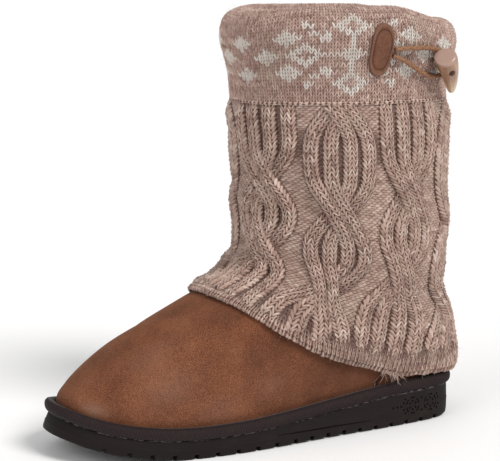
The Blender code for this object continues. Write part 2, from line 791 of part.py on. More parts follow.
def loop():
    """Round elastic cord that comes out of the patch and lies round the toggle's tie."""
    route = [cuff_point(around, height, LOOP_LIFT) for around, height in LOOP_ROUTE]
    curve = bpy.data.curves.new("loop", "CURVE")
    curve.dimensions = "3D"
    spline = curve.splines.new("POLY")
    points = open_spline(route, LOOP_POINTS)
    spline.points.add(len(points) - 1)
    for point, place in zip(spline.points, points):
        point.co = (*(place * MM), 1.0)
    curve.bevel_depth = 0.5 * LOOP_DIAMETER * MM
    curve.bevel_resolution = 2
    curve.use_fill_caps = True
    curve.materials.append(material("elastic cord", (0.42, 0.22, 0.11), 0.6))
    cord = bpy.data.objects.new("loop", curve)
    bpy.context.scene.collection.objects.link(cord)
    return cord


def turned(bm, start, end, profile, count, bend=(0.0, 0.0, 0.0)):
    """Closed round body from start to end, with its radii from the profile and its middle moved by bend."""
    start = Vector(start)
    axis = Vector(end) - start
    turn = axis.to_track_quat("Z", "Y").to_matrix()
    rings = []
    for share, radius in profile:
        centre = start + axis * share + Vector(bend) * (4 * share * (1 - share))
        rings.append([centre + turn @ Vector((radius * math.cos(a), radius * math.sin(a), 0))
                      for a in np.linspace(0, 2 * math.pi, count, endpoint=False)])
    low, high = add_tube(bm, rings)
    bm.faces.new(low)
    bm.faces.new(high)


def toggle_line():
    """The toggle's hole as its middle and its direction away from the cuff."""
    root = Vector(cuff_point(*TIE_PLACE))
    cap = Vector(TOGGLE_CAP)
    middle = cap.lerp(Vector(TOGGLE_TIP), HOLE_SHARE)
    return root, middle, (middle - root).normalized()


def toggle():
    """Horn-shaped toggle with the hole for its tie."""
    root, middle, outwards = toggle_line()
    bend = outwards * TOGGLE_BEND
    bm = bmesh.new()
    turned(bm, TOGGLE_CAP, TOGGLE_TIP, TOGGLE_PROFILE, TOGGLE_COLUMNS, bend)
    body = new_object("toggle", bm, material("horn", (0.62, 0.4, 0.25), 0.35))
    bm = bmesh.new()
    reach = outwards * 14
    turned(bm, middle - reach, middle + reach, ((0, HOLE_RADIUS), (1, HOLE_RADIUS)), TIE_COLUMNS)
    cutter = new_object("hole_cutter", bm, material("cutter", (0.5, 0.5, 0.5), 0.5), smooth=False)
    cutter.hide_render = True
    cutter.display_type = "WIRE"
    cut = body.modifiers.new("hole", "BOOLEAN")
    cut.operation = "DIFFERENCE"
    cut.solver = "EXACT"
    cut.object = cutter
    return body


def toggle_tie():
    """Thread with a knot that holds the toggle to the cuff."""
    root, middle, outwards = toggle_line()
    reach = (middle - root).length + TOGGLE_BEND + 4.6
    bm = bmesh.new()
    turned(bm, root + outwards * 0.5, root + outwards * reach, TIE_PROFILE, TIE_COLUMNS)
    return new_object("toggle_tie", bm, material("thread", (0.6, 0.48, 0.38), 0.9))


def clear_scene():
    """Remove what the file holds before the boot is made."""
    for item in list(bpy.data.objects):
        bpy.data.objects.remove(item, do_unlink=True)


clear_scene()
outsole()
binding()
insole()
upper()
sleeve()
cuff()
patch()
loop()
toggle()
toggle_tie()
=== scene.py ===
"""Dressed scene of a left mukluk boot: suede foot, cable-knit sleeve, patterned cuff and toggle.

Lengths are in millimetres unless a name says otherwise, and leave the script in metres. The last is
worked out from the same short tables as the boot's solids, so every surface lies on its own solid.
"""

import logging
import math
from dataclasses import dataclass
from enum import Enum
from functools import cached_property
from typing import Callable, Optional, Sequence

import bmesh
import bpy
import numpy as np
from mathutils import Matrix, Vector


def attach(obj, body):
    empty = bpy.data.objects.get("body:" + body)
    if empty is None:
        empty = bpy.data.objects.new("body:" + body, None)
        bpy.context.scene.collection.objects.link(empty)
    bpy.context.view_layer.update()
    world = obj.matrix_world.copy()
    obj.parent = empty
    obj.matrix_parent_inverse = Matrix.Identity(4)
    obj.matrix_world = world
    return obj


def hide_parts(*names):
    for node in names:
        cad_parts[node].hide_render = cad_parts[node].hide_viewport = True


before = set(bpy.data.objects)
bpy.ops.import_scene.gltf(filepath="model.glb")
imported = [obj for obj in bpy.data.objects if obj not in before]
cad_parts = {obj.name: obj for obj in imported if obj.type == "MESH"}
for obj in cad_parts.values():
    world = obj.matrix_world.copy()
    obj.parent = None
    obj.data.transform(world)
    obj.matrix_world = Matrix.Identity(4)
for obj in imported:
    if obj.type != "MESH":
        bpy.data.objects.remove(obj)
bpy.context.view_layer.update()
LOG = logging.getLogger("boot")
MM = 0.001

Array = np.ndarray
Place = Callable[[Array, Array], Array]
Piece = bpy.types.Object
Socket = bpy.types.NodeSocket


def ease(share: Array) -> Array:
    """Smooth step from 0 to 1."""
    share = np.clip(share, 0, 1)
    return share * share * (3 - 2 * share)


def bell(share: Array) -> Array:
    """Rounded bump: 1 at 0, and 0 from -1 down and from 1 up."""
    return np.cos(0.5 * math.pi * np.clip(share, -1, 1)) ** 2


def hump(row: Array, rows: int, power: float) -> Array:
    """Rounded hump over every stitch of some rows, from 0 to 1."""
    return np.sin(np.pi * np.mod(row, rows) / rows) ** power


def nth(share: Array, count: int) -> Array:
    """Number of the row or column at a share of their count."""
    return np.round(share * count).astype(int)


def unit(vectors: Array) -> Array:
    """The vectors, each made one long."""
    return vectors / np.linalg.norm(vectors, axis=-1)[..., None]


def beside(curve: Array) -> Array:
    """Unit normals of a plane curve, on its right."""
    tangent = np.gradient(curve, axis=0)
    return unit(np.stack([tangent[:, 1], -tangent[:, 0]], axis=1))


def from_heel(around: Array) -> Array:
    """Share of the way from the heel to the toe at a place round the boot, on either side."""
    return 1 - np.abs(1 - 2 * np.mod(around, 1.0))


def squared(wave: Array, fullness: float) -> Array:
    """Sine or cosine of an oval that fills its corners the more, the more the fullness is over 2."""
    return np.sign(wave) * np.abs(wave) ** (2 / fullness)


def hermite(t: Array, start: Array, leave: Array, end: Array, arrive: Array) -> Array:
    """Cubic curve at t from 0 to 1, with its points and slopes at both ends."""
    return ((2 * t ** 3 - 3 * t ** 2 + 1) * start + (t ** 3 - 2 * t ** 2 + t) * leave
            + (3 * t ** 2 - 2 * t ** 3) * end + (t ** 3 - t ** 2) * arrive)


def monotone(table: Sequence[tuple], column: int, at: Array) -> Array:
    """Smooth curve through a table's column that never overshoots its values.

    Args:
        table: rows whose first value is the place.
        column: which value of the rows to follow.
        at: places to read.

    Returns:
        The value at each place.
    """
    rows = np.array(sorted(table, key=lambda row: row[0]), dtype=float)
    x = rows[:, 0]
    y = rows[:, column]
    step = np.diff(x)
    slope = np.diff(y) / step
    tangent = np.r_[slope[0], np.zeros(len(x) - 2), slope[-1]]
    for i in range(1, len(x) - 1):
        if slope[i - 1] * slope[i] > 0:
            before = 2 * step[i] + step[i - 1]
            after = step[i] + 2 * step[i - 1]
            tangent[i] = (before + after) / (before / slope[i - 1] + after / slope[i])
    at = np.clip(np.asarray(at, dtype=float), x[0], x[-1])
    i = np.clip(np.searchsorted(x, at, side="right") - 1, 0, len(x) - 2)
    h = step[i]
    return hermite((at - x[i]) / h, y[i], h * tangent[i], y[i + 1], h * tangent[i + 1])


def run_of(curve: Array) -> Array:
    """Length run along a curve up to each of its points."""
    return np.r_[0, np.cumsum(np.linalg.norm(np.diff(curve, axis=0), axis=1))]


def even_spacing(curve: Array, count: int) -> Array:
    """The curve's count points that are evenly spaced along its length, ends included."""
    length = run_of(curve)
    places = np.linspace(0, length[-1], count)
    return np.stack([np.interp(places, length, column) for column in curve.T], axis=1)


def spline(points: Sequence, count: int) -> Array:
    """Smooth open curve through the points, as count points evenly spaced along it."""
    points = np.array(points, dtype=float)
    slope = np.gradient(points, axis=0)
    t = np.linspace(0, 1, 24, endpoint=False)[:, None]
    parts = [hermite(t, *ends) for ends in zip(points, slope, points[1:], slope[1:])]
    return even_spacing(np.vstack(parts + [points[-1:]]), count)


def closed_spline(points: Sequence, count: int) -> Array:
    """Smooth closed curve through the points, as count points evenly spaced along it."""
    points = np.array(points, dtype=float)
    n = len(points)
    chord = np.linalg.norm(np.roll(points, -1, axis=0) - points, axis=1)
    system = np.zeros((n, n))
    right = np.zeros((n, 2))
    for i in range(n):
        before = chord[i - 1]
        after = chord[i]
        system[i, [i - 1, i, (i + 1) % n]] = after, 2 * (before + after), before
        right[i] = 3 * (after * (points[i] - points[i - 1]) / before
                        + before * (points[(i + 1) % n] - points[i]) / after)
    slope = np.linalg.solve(system, right)
    t = np.linspace(0, 1, 40, endpoint=False)[:, None]
    parts = [hermite(t, points[i - 1], chord[i - 1] * slope[i - 1], points[i], chord[i - 1] * slope[i])
             for i in (*range(1, n), 0)]
    return even_spacing(np.vstack(parts + [points[:1]]), count + 1)[:-1]


def scatter(x: Array, y: Array = 0, seed: int = 0) -> Array:
    """Repeatable random value from 0 to 1 for each pair of whole numbers."""
    n = (np.asarray(x).astype(np.int64) * 374761393 + np.asarray(y).astype(np.int64) * 668265263
         + seed * 974634777)
    n = (n ^ (n >> 13)) & 0xFFFFFFFF
    n = (n * 1274126177) & 0xFFFFFFFF
    n = (n ^ (n >> 16)) & 0xFFFFFFFF
    n = (n * 2246822519) & 0xFFFFFFFF
    return ((n ^ (n >> 15)) & 0xFFFFFF) / float(0xFFFFFF)


def drift(x: Array, y: Array = 0.0, seed: int = 0, wrap: int = 0) -> Array:
    """Smooth random value from 0 to 1 over a plane, whose lumps are one unit wide.

    Args:
        x: first coordinate, in lumps.
        y: second coordinate, in lumps.
        seed: number of the pattern.
        wrap: lumps of x after which the pattern repeats, 0 for never.

    Returns:
        The value at every point.
    """
    x, y = np.broadcast_arrays(np.asarray(x, float), np.asarray(y, float))
    left = np.floor(x)
    low = np.floor(y)
    u = ease(x - left)
    v = ease(y - low)
    right = left + 1
    if wrap:
        left, right = np.mod(left, wrap), np.mod(right, wrap)
    bottom = scatter(left, low, seed) * (1 - u) + scatter(right, low, seed) * u
    top = scatter(left, low + 1, seed) * (1 - u) + scatter(right, low + 1, seed) * u
    return bottom * (1 - v) + top * v


def fold(around: Array, height: Array, girth: float, line: Sequence[float]) -> Array:
    """Depth of a soft fold.

    Args:
        around: places round the boot.
        height: their heights.
        girth: millimetres once round.
        line: place round and height of both ends, half width and depth.

    Returns:
        The depth at each place.
    """
    a0, h0, a1, h1, width, deep = line
    x = (around - a0) * girth
    y = height - h0
    dx = (a1 - a0) * girth
    dy = h1 - h0
    t = np.clip((x * dx + y * dy) / (dx * dx + dy * dy), 0, 1)
    return deep * np.exp(-(np.hypot(x - t * dx, y - t * dy) / width) ** 2)


class Slot(Enum):
    """Material slots of the boot's record."""

    RUBBER = "sole_rubber"
    TAPE = "binding_tape"
    SUEDE = "suede"
    FLEECE = "fleece"
    CABLES = "cable_knit"
    PATTERN = "patterned_knit"
    PATCH = "patch_suede"
    ELASTIC = "elastic"
    HORN = "horn"
    THREAD = "thread"


@dataclass(frozen=True)
class Last:
    """The boot's form: the outsole's outline and the rings of the upper, from the heel to the collar."""

    outline: tuple = (
        (0.0, 39.5), (28.0, 28.5), (37.0, 2.0), (44.5, -66.0), (50.3, -132.0), (47.0, -184.0),
        (35.0, -221.0), (0.0, -236.5), (-34.0, -222.0), (-48.5, -190.0), (-51.0, -150.0),
        (-40.5, -80.0), (-37.0, 2.0), (-28.0, 28.5),
    )
    sole_line: tuple = (
        # y, tread, top
        (39.5, 0.0, 22.0), (0.0, 0.0, 21.8), (-25.0, 0.0, 20.7), (-65.0, 0.8, 17.2), (-105.0, 0.4, 13.7),
        (-128.0, 0.0, 12.2), (-156.0, 0.0, 11.7), (-176.0, 1.0, 12.7), (-196.0, 3.7, 15.4),
        (-216.0, 8.0, 19.7), (-237.0, 14.7, 26.4),
    )
    rings: tuple = (
        # height, follow, front, back, outer, inner, leg
        (22.3, 1.00, -227.2, 35.2, 46.0, 46.7, 0.00),
        (29.4, 1.00, -227.4, 35.4, 46.2, 46.9, 0.00),
        (33.0, 0.95, -226.6, 36.6, 47.3, 48.0, 0.05),
        (40.0, 0.75, -222.0, 38.0, 47.8, 48.4, 0.15),
        (49.0, 0.50, -213.5, 38.6, 47.4, 47.8, 0.35),
        (60.0, 0.25, -198.5, 37.8, 46.8, 46.6, 0.60),
        (69.0, 0.10, -180.5, 35.5, 46.5, 46.0, 0.80),
        (78.0, 0.00, -159.5, 32.5, 46.6, 45.2, 0.95),
        (86.0, 0.00, -141.0, 30.5, 47.4, 45.4, 1.00),
        (93.0, 0.00, -121.5, 29.5, 48.6, 46.0, 1.00),
        (102.0, 0.00, -107.0, 29.0, 49.6, 46.6, 1.00),
        (112.0, 0.00, -100.8, 28.6, 50.4, 47.0, 1.00),
        (124.0, 0.00, -100.0, 28.2, 51.0, 47.4, 1.00),
        (142.0, 0.00, -99.3, 27.6, 51.6, 47.8, 1.00),
        (183.0, 0.00, -101.0, 28.4, 53.4, 49.4, 1.00),
        (205.0, 0.00, -103.0, 28.6, 53.4, 49.4, 1.00),
        (268.0, 0.00, -105.5, 31.0, 54.0, 50.0, 1.00),
    )
    heel_end: float = 39.5
    toe_end: float = -236.5
    heel_top: float = 22.0
    toe_rake: float = 4.5
    rake_start: float = -150.0
    feather_inset: float = 4.3
    leg_fullness: float = 2.15
    leg_oval: tuple = (51.0, 66.0)
    samples: int = 720
    fine: int = 1500

    def tread(self, y: Array) -> Array:
        """Height of the tread at y."""
        return monotone(self.sole_line, 1, y)

    def top(self, y: Array) -> Array:
        """Height of the outsole's top at y."""
        return monotone(self.sole_line, 2, y)

    @cached_property
    def halves(self) -> tuple:
        """The outsole's outline as its outer and inner half, both from the heel."""
        curve = closed_spline(self.outline, self.samples)
        curve = np.roll(curve, -int(np.argmax(curve[:, 1])), axis=0)
        toe = int(np.argmin(curve[:, 1]))
        outer = curve[:toe + 1]
        inner = np.vstack([curve[toe:], curve[:1]])[::-1]
        return (inner, outer) if outer[len(outer) // 2, 0] < 0 else (outer, inner)

    def moved_out(self, half: Array, out: float) -> Array:
        """Half of the outline moved outwards."""
        normal = beside(half)
        middle = len(half) // 2
        return half + out * (normal if normal[middle, 0] * half[middle, 0] >= 0 else -normal)

    def raked(self, points: Array, share: float) -> Array:
        """Plan points with the toe leaned back by a share of the whole rake."""
        lean = ease((self.rake_start - points[:, 1]) / (self.rake_start - self.toe_end))
        return np.column_stack([points[:, 0], points[:, 1] + share * self.toe_rake * lean])

    def outline_ring(self, out: float, rake: float, stations: int) -> Array:
        """The sole's outline moved outwards, from the heel by the outer side.

        Args:
            out: distance out from the outline.
            rake: share of the toe's rake.
            stations: places along the foot, which the outer and the inner side share.

        Returns:
            Plan points, twice as many as the stations.
        """
        middle = 0.5 * (self.heel_end + self.toe_end)
        reach = 0.5 * (self.heel_end - self.toe_end)
        at = middle + reach * np.cos(np.linspace(0, math.pi, stations + 1))
        sides = []
        for half in self.halves:
            index = np.arange(len(half))
            place = np.interp(-at, -half[:, 1], index)
            moved = self.raked(self.moved_out(half, out), rake)
            sides.append(np.stack([np.interp(place, index, moved[:, k]) for k in range(2)], axis=1))
        outer, inner = sides
        ends = 0.5 * (outer[[0, -1]] + inner[[0, -1]])
        outer[[0, -1]] = ends
        return np.vstack([outer, inner[1:-1][::-1]])

    @cached_property
    def rim_tables(self) -> tuple:
        """The joint of sole and upper: shares round it, points, way outwards and length."""
        ring, far = (self.joined([self.raked(self.moved_out(half, out), 1.0) for half in self.halves])
                     for out in (0.0, 1.0))
        length = run_of(ring)
        return length / length[-1], ring, far - ring, length[-1]

    def joined(self, halves: Sequence) -> Array:
        """Two halves from the heel as one closed curve, from the heel by the outer side."""
        outer, inner = halves
        return np.vstack([outer, inner[::-1][1:]])

    def rim(self, around: Array, out: Array, above: Array) -> Array:
        """Points along the joint of sole and upper.

        Args:
            around: share of the way round, 0 at the heel, by the outer side.
            out: distance out from the sole's outline.
            above: height over the outsole's top.

        Returns:
            The points.
        """
        place, ring, normal, _ = self.rim_tables
        around = np.mod(around, 1.0)
        x, y, nx, ny = (np.interp(around, place, column) for column in (*ring.T, *normal.T))
        y = y + out * ny
        return np.stack(np.broadcast_arrays(x + out * nx, y, self.top(y) + above), axis=-1)

    @cached_property
    def shapes(self) -> tuple:
        """Plans of the sole's and the leg's rings: x from -1 to 1 and y from 0 to 1 over the way round."""
        turn = np.linspace(0, math.pi, self.samples)
        wide, long = self.leg_oval
        half = np.stack([wide * squared(np.sin(turn), self.leg_fullness),
                         long * squared(np.cos(turn), self.leg_fullness)], axis=1)
        sole = [self.raked(self.moved_out(side, -self.feather_inset), 1.0) for side in self.halves]
        return self.plan(sole), self.plan([half, half * (-1, 1)])

    def plan(self, halves: Sequence) -> tuple:
        """One ring's plan as tables over the way round."""
        outer, inner = (even_spacing(half, self.samples + 1) for half in halves)
        loop = self.joined([outer / (outer[:, 0].max(), 1), inner / (-inner[:, 0].min(), 1)])
        low = loop[:, 1].min()
        high = loop[:, 1].max()
        return loop[:, 0], (loop[:, 1] - low) / (high - low)

    @cached_property
    def ring_tables(self) -> tuple:
        """The rings' values over fine heights."""
        at = np.linspace(self.rings[0][0], self.rings[-1][0], self.fine)
        return at, [monotone(self.rings, k, at) for k in range(1, 7)]

    @cached_property
    def tops(self) -> tuple:
        """The outsole's top over fine places along the foot."""
        y = np.linspace(self.toe_end - 10, self.heel_end + 10, self.fine)
        return y, self.top(y)

    def ring_values(self, height: Array) -> list:
        """The rings' values at a height."""
        at, tables = self.ring_tables
        return [np.interp(height, at, table) for table in tables]

    def point(self, around: Array, height: Array) -> Array:
        """Points on the upper's outer face.

        Args:
            around: from 0 at the heel by the outer side to 0.5 at the toe and back to 1.
            height: ring, as in the rings' table.

        Returns:
            The points.
        """
        place = np.mod(around, 1.0) * 2 * self.samples
        index = np.arange(2 * self.samples + 1)
        follow, front, back, outer, inner, leg = self.ring_values(height)
        x, y = ((1 - leg) * np.interp(place, index, sole) + leg * np.interp(place, index, shaft)
                for sole, shaft in zip(*self.shapes))
        x = np.where(x > 0, x * outer, x * inner)
        y = front + y * (back - front)
        z = height + follow * (np.interp(y, *self.tops) - self.heel_top)
        return np.stack(np.broadcast_arrays(x, y, z), axis=-1)

    def normal(self, around: Array, height: Array) -> Array:
        """Outward unit normals of the upper's outer face."""
        along = self.point(around + 0.002, height) - self.point(around - 0.002, height)
        above, below = (self.point(around, np.clip(height + step, self.rings[0][0], self.rings[-1][0]))
                        for step in (0.5, -0.5))
        return unit(np.cross(above - below, along))

    def offset(self, around: Array, height: Array, out: Array) -> Array:
        """Points that stand out from the upper's outer face by the distance out."""
        around, height, out = np.broadcast_arrays(np.asarray(around, float), np.asarray(height, float),
                                                  np.asarray(out, float))
        return self.point(around, height) + self.normal(around, height) * out[..., None]


@dataclass(frozen=True)
class Sheet:
    """One rectangular grid of a skin and the functions that bend and shade it.

    place takes the grid's shares (u, v) from 0 to 1 and gives points in millimetres. pattern takes them
    and gives UV coordinates, paint gives attributes of the points, and marks takes the shares at the
    faces' centres and gives attributes of the faces.
    """

    columns: int
    rows: int
    place: Place
    pattern: Optional[Callable[[Array, Array], tuple]] = None
    marks: Optional[Callable[[Array, Array], dict]] = None
    paint: Optional[Callable[[Array, Array], dict]] = None


def scaled(across: float, along: float, left: float = 0.0, low: float = 0.0) -> Callable:
    """UV map that scales a grid's shares and moves them.

    Args:
        across: factor of u.
        along: factor of v.
        left: u at the grid's start.
        low: v at the grid's start.

    Returns:
        The map.
    """
    def pattern(u: Array, v: Array) -> tuple:
        """UV coordinates of the grid's points."""
        return u * across + left, v * along + low

    return pattern


def values_of(items: Sequence, key: str, width: int = 1, kind: type = np.float32) -> Array:
    """A property of every item, one row each."""
    values = np.empty(len(items) * width, kind)
    items.foreach_get(key, values)
    return values.reshape(-1, width)


def mesh_of(name: str, bm: bmesh.types.BMesh) -> bpy.types.Mesh:
    """New mesh of a bmesh, which is freed."""
    mesh = bpy.data.meshes.new(name)
    bm.to_mesh(mesh)
    bm.free()
    return mesh


def skin(name: str, sheets: Sequence[Sheet], weld: float = 0.002) -> Piece:
    """Bend grids into place and close them into one mesh.

    Args:
        name: the piece's name.
        sheets: its grids.
        weld: distance under which the grids' border points are merged, in millimetres.

    Returns:
        The piece, at the origin, in metres.
    """
    bm = bmesh.new()
    bm.loops.layers.uv.new("UVMap")
    for sheet in sheets:
        bmesh.ops.create_grid(bm, x_segments=sheet.columns, y_segments=sheet.rows, size=0.5, calc_uvs=True)
    mesh = mesh_of(name, bm)
    flat = values_of(mesh.vertices, "co", 3)[:, :2].astype(float) + 0.5
    corners = values_of(mesh.loops, "vertex_index", kind=np.int32).reshape(-1, 4)
    points = np.empty((len(flat), 3))
    uv = flat.copy()
    tables: dict = {}
    start = 0
    first = 0
    for sheet in sheets:
        own = slice(start, start + (sheet.columns + 1) * (sheet.rows + 1))
        faces = slice(first, first + sheet.columns * sheet.rows)
        start = own.stop
        first = faces.stop
        u, v = flat[own].T
        points[own] = sheet.place(u, v)
        if sheet.pattern:
            uv[own] = np.stack(np.broadcast_arrays(*sheet.pattern(u, v)), axis=-1)
        centre = flat[corners[faces]].mean(axis=1)
        for domain, shade, at, here, size in (("POINT", sheet.paint, (u, v), own, len(flat)),
                                              ("FACE", sheet.marks, centre.T, faces, len(corners))):
            for key, values in (shade(*at) if shade else {}).items():
                tables.setdefault((key, domain), np.zeros(size, np.float32))[here] = values
    mesh.vertices.foreach_set("co", (points * MM).astype(np.float32).ravel())
    mesh.uv_layers[0].data.foreach_set("uv", uv[corners.ravel()].astype(np.float32).ravel())
    for (key, domain), values in tables.items():
        mesh.attributes.new(key, "FLOAT", domain).data.foreach_set("value", values)
    close(mesh, weld)
    return placed(name, mesh)


def close(mesh: bpy.types.Mesh, weld: float) -> None:
    """Merge a mesh's border points that meet, cap what stays open and turn its faces outwards."""
    bm = bmesh.new()
    bm.from_mesh(mesh)
    border = [v for v in bm.verts if v.is_boundary]
    bmesh.ops.remove_doubles(bm, verts=border, dist=weld * MM)
    bmesh.ops.holes_fill(bm, edges=[e for e in bm.edges if e.is_boundary], sides=0)
    bmesh.ops.recalc_face_normals(bm, faces=bm.faces)
    bm.to_mesh(mesh)
    bm.free()


def placed(name: str, mesh: bpy.types.Mesh) -> Piece:
    """A smooth-shaded object of a mesh, at the origin."""
    mesh.shade_smooth()
    piece = bpy.data.objects.new(name, mesh)
    bpy.context.scene.collection.objects.link(piece)
    return piece


def from_bmesh(name: str, bm: bmesh.types.BMesh, sharp_over: float = 40.0) -> Piece:
    """A finished object from a bmesh in millimetres.

    Args:
        name: the piece's name.
        bm: its closed mesh, which is freed.
        sharp_over: edges that turn by more than this, in degrees, stay sharp.

    Returns:
        The piece.
    """
    bmesh.ops.recalc_face_normals(bm, faces=bm.faces)
    bmesh.ops.scale(bm, vec=(MM, MM, MM), verts=bm.verts)
    piece = placed(name, mesh_of(name, bm))
    piece.data.set_sharp_from_angle(angle=math.radians(sharp_over))
    return piece


def carve(body: Piece, cutter: Piece, sharp_over: float, overlaps: bool = False) -> Piece:
    """Cut a piece with a block, and remove the block.

    Args:
        body: the piece.
        cutter: the block.
        sharp_over: edges that turn by more than this, in degrees, stay sharp.
        overlaps: whether parts of the block overlap.

    Returns:
        The same piece.
    """
    cut = body.modifiers.new("cut", "BOOLEAN")
    cut.operation = "DIFFERENCE"
    cut.solver = "EXACT"
    cut.use_self = overlaps
    cut.object = cutter
    bpy.context.view_layer.update()
    mesh = bpy.data.meshes.new_from_object(body.evaluated_get(bpy.context.evaluated_depsgraph_get()))
    body.modifiers.clear()
    body.data = mesh
    bpy.data.objects.remove(cutter)
    mesh.shade_smooth()
    mesh.set_sharp_from_angle(angle=math.radians(sharp_over))
    return body


def dress(piece: Piece, finish: bpy.types.Material, slot: Slot, *replaced: str) -> Piece:
    """Give a piece its finish, hide the solids that it stands for, and let it ride on the boot.

    Args:
        piece: the finished object.
        finish: its material.
        slot: the record's slot; not used.
        replaced: names of the solids that it replaces.

    Returns:
        The same piece.
    """
    piece.data.materials.clear()
    piece.data.materials.append(finish)
    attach(piece, "root")
    if replaced:
        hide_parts(*replaced)
    LOG.info("%s: %d faces", piece.name, len(piece.data.polygons))
    return piece


@dataclass(frozen=True)
class KnitField:
    """Courses and wales of the sleeve laid over the last: a knit place k round it and a share s up it."""

    last: Last
    hem_line: tuple = (
        # share from heel to instep, height
        (0.0, 32.6), (0.13, 32.8), (0.24, 35.5), (0.31, 41.4), (0.48, 56.8), (0.58, 67.1), (0.70, 77.8),
        (0.82, 85.2), (0.92, 87.9), (1.0, 88.7),
    )
    cuff_line: float = 207.0
    fan_line: tuple = (
        # share from heel to instep, how far a wale keeps back towards the heel over the foot
        (0.0, 0.0), (0.25, 0.09), (0.41, 0.113), (0.55, 0.165), (0.66, 0.195), (0.80, 0.115),
        (0.91, 0.035), (1.0, 0.0),
    )
    leg_front: float = -102.0
    gap: float = 1.35
    wall: float = 2.35
    rib_lift: float = 3.2
    heel_flare: float = 3.0
    heel_flare_reach: float = 0.6
    heel_flare_height: float = 55.0
    girth: float = 415.0
    wales: int = 96
    columns: int = 240
    steps: int = 120
    rungs: int = 80

    def fan(self, around: Array, height: Array) -> Array:
        """Place round the last of a wale, which fans out over the foot."""
        front = self.last.ring_values(height)[1]
        reach = (self.leg_front - front) / (self.leg_front - self.last.toe_end)
        half_way = from_heel(around)
        moved = 0.5 * (half_way - np.clip(reach, 0, 1) * monotone(self.fan_line, 1, half_way))
        return np.where(np.mod(around, 1.0) < 0.5, moved, 1 - moved)

    def hem_height(self, around: Array) -> Array:
        """Height of the sleeve's hem on the last."""
        return monotone(self.hem_line, 1, from_heel(around))

    @cached_property
    def tables(self) -> tuple:
        """Ring heights over knit places and shares up the sleeve, and each wale's length."""
        knit = np.arange(self.columns + 1) / self.columns
        low = self.hem_height(knit)
        for _ in range(40):
            low = 0.5 * (low + self.hem_height(self.fan(knit, low)))
        heights = []
        lengths = []
        for column, start in zip(knit, low):
            rungs = start + (self.cuff_line - start) * np.linspace(0, 1, self.rungs)
            length = run_of(self.last.point(self.fan(np.full(len(rungs), column), rungs), rungs))
            heights.append(np.interp(np.linspace(0, 1, self.steps + 1) * length[-1], length, rungs))
            lengths.append(length[-1])
        return np.array(heights), np.array(lengths)

    def height(self, knit: Array, share: Array) -> Array:
        """Ring height at a knit place and a share up the sleeve."""
        heights, _ = self.tables
        x = np.mod(knit, 1.0) * self.columns
        y = np.clip(share, 0, 1) * self.steps
        i = np.minimum(x.astype(int), self.columns - 1)
        j = np.minimum(y.astype(int), self.steps - 1)
        u = x - i
        v = y - j
        low = heights[i, j] * (1 - u) + heights[i + 1, j] * u
        high = heights[i, j + 1] * (1 - u) + heights[i + 1, j + 1] * u
        return low * (1 - v) + high * v

    def length(self, knit: Array) -> Array:
        """Length of a wale from the hem to the cuff."""
        _, lengths = self.tables
        return np.interp(np.mod(knit, 1.0), np.arange(self.columns + 1) / self.columns, lengths)

    def inner(self, knit: Array, above_hem: Array) -> Array:
        """Distance of the sleeve's inner face from the last."""
        to_heel = 1 - from_heel(knit) / self.heel_flare_reach
        return self.gap + self.heel_flare * ease(to_heel) * ease(1 - above_hem / self.heel_flare_height)

    def instep(self, knit: Array) -> Array:
        """How near a place is to the instep, where the cables run down to the edge, from 0 to 1."""
        return ease((0.22 - np.abs(np.mod(knit, 1.0) - 0.5)) / 0.1)

    def slack(self, knit: Array, share: Array) -> Array:
        """Soft lumps of the hanging knit."""
        return (1.5 * (drift(knit * 7, share * 3.5, 5, 7) - 0.5)
                + 0.9 * (drift(knit * 19, share * 8, 6, 19) - 0.5)) * ease(share * 6) * ease((1 - share) * 8)

    def ground(self, knit: Array, share: Array) -> Array:
        """Distance of the knit's purl ground from the last."""
        return self.inner(knit, share * self.length(knit)) + self.wall - 0.4 + self.slack(knit, share)

    def spot(self, knit: Array, share: Array, lift: Array) -> Array:
        """Point over the knit's ground."""
        knit, share, lift = np.broadcast_arrays(knit, share, lift)
        height = self.height(knit, share)
        return self.last.offset(self.fan(knit, height), height, self.ground(knit, share) + lift)

    def normal(self, knit: Array, share: Array) -> Array:
        """Outward normal of the knit's ground."""
        height = self.height(knit, share)
        return self.last.normal(self.fan(knit, height), height)


def marl(course: Array, wale: Array, seed: int, leg: Array) -> Array:
    """Lightness of the marled yarn's stitches, from 0 to 1: even, with pale flecks along a course.

    Args:
        course: number of the course.
        wale: place along it, in stitches.
        seed: which run of yarn.
        leg: a random value from 0 to 1 for each leg of a stitch.

    Returns:
        The lightness of each leg.
    """
    course = np.round(course)
    stitch = np.floor(wale)
    soft = drift(wale * 0.22 + 37.7 * course, course, seed) - 0.5
    grain = scatter(stitch, course, seed + 1) - 0.5
    run = drift(stitch * 0.42 + 11.3 * course, course * 0.6, seed + 2)
    fleck = ease((run - 0.52) / 0.22) * (0.4 + 0.6 * ease((leg - 0.3) / 0.4))
    return np.clip(0.35 + 0.34 * soft + 0.16 * grain + 0.46 * (leg - 0.5) + 0.24 * fleck, 0, 1.05)


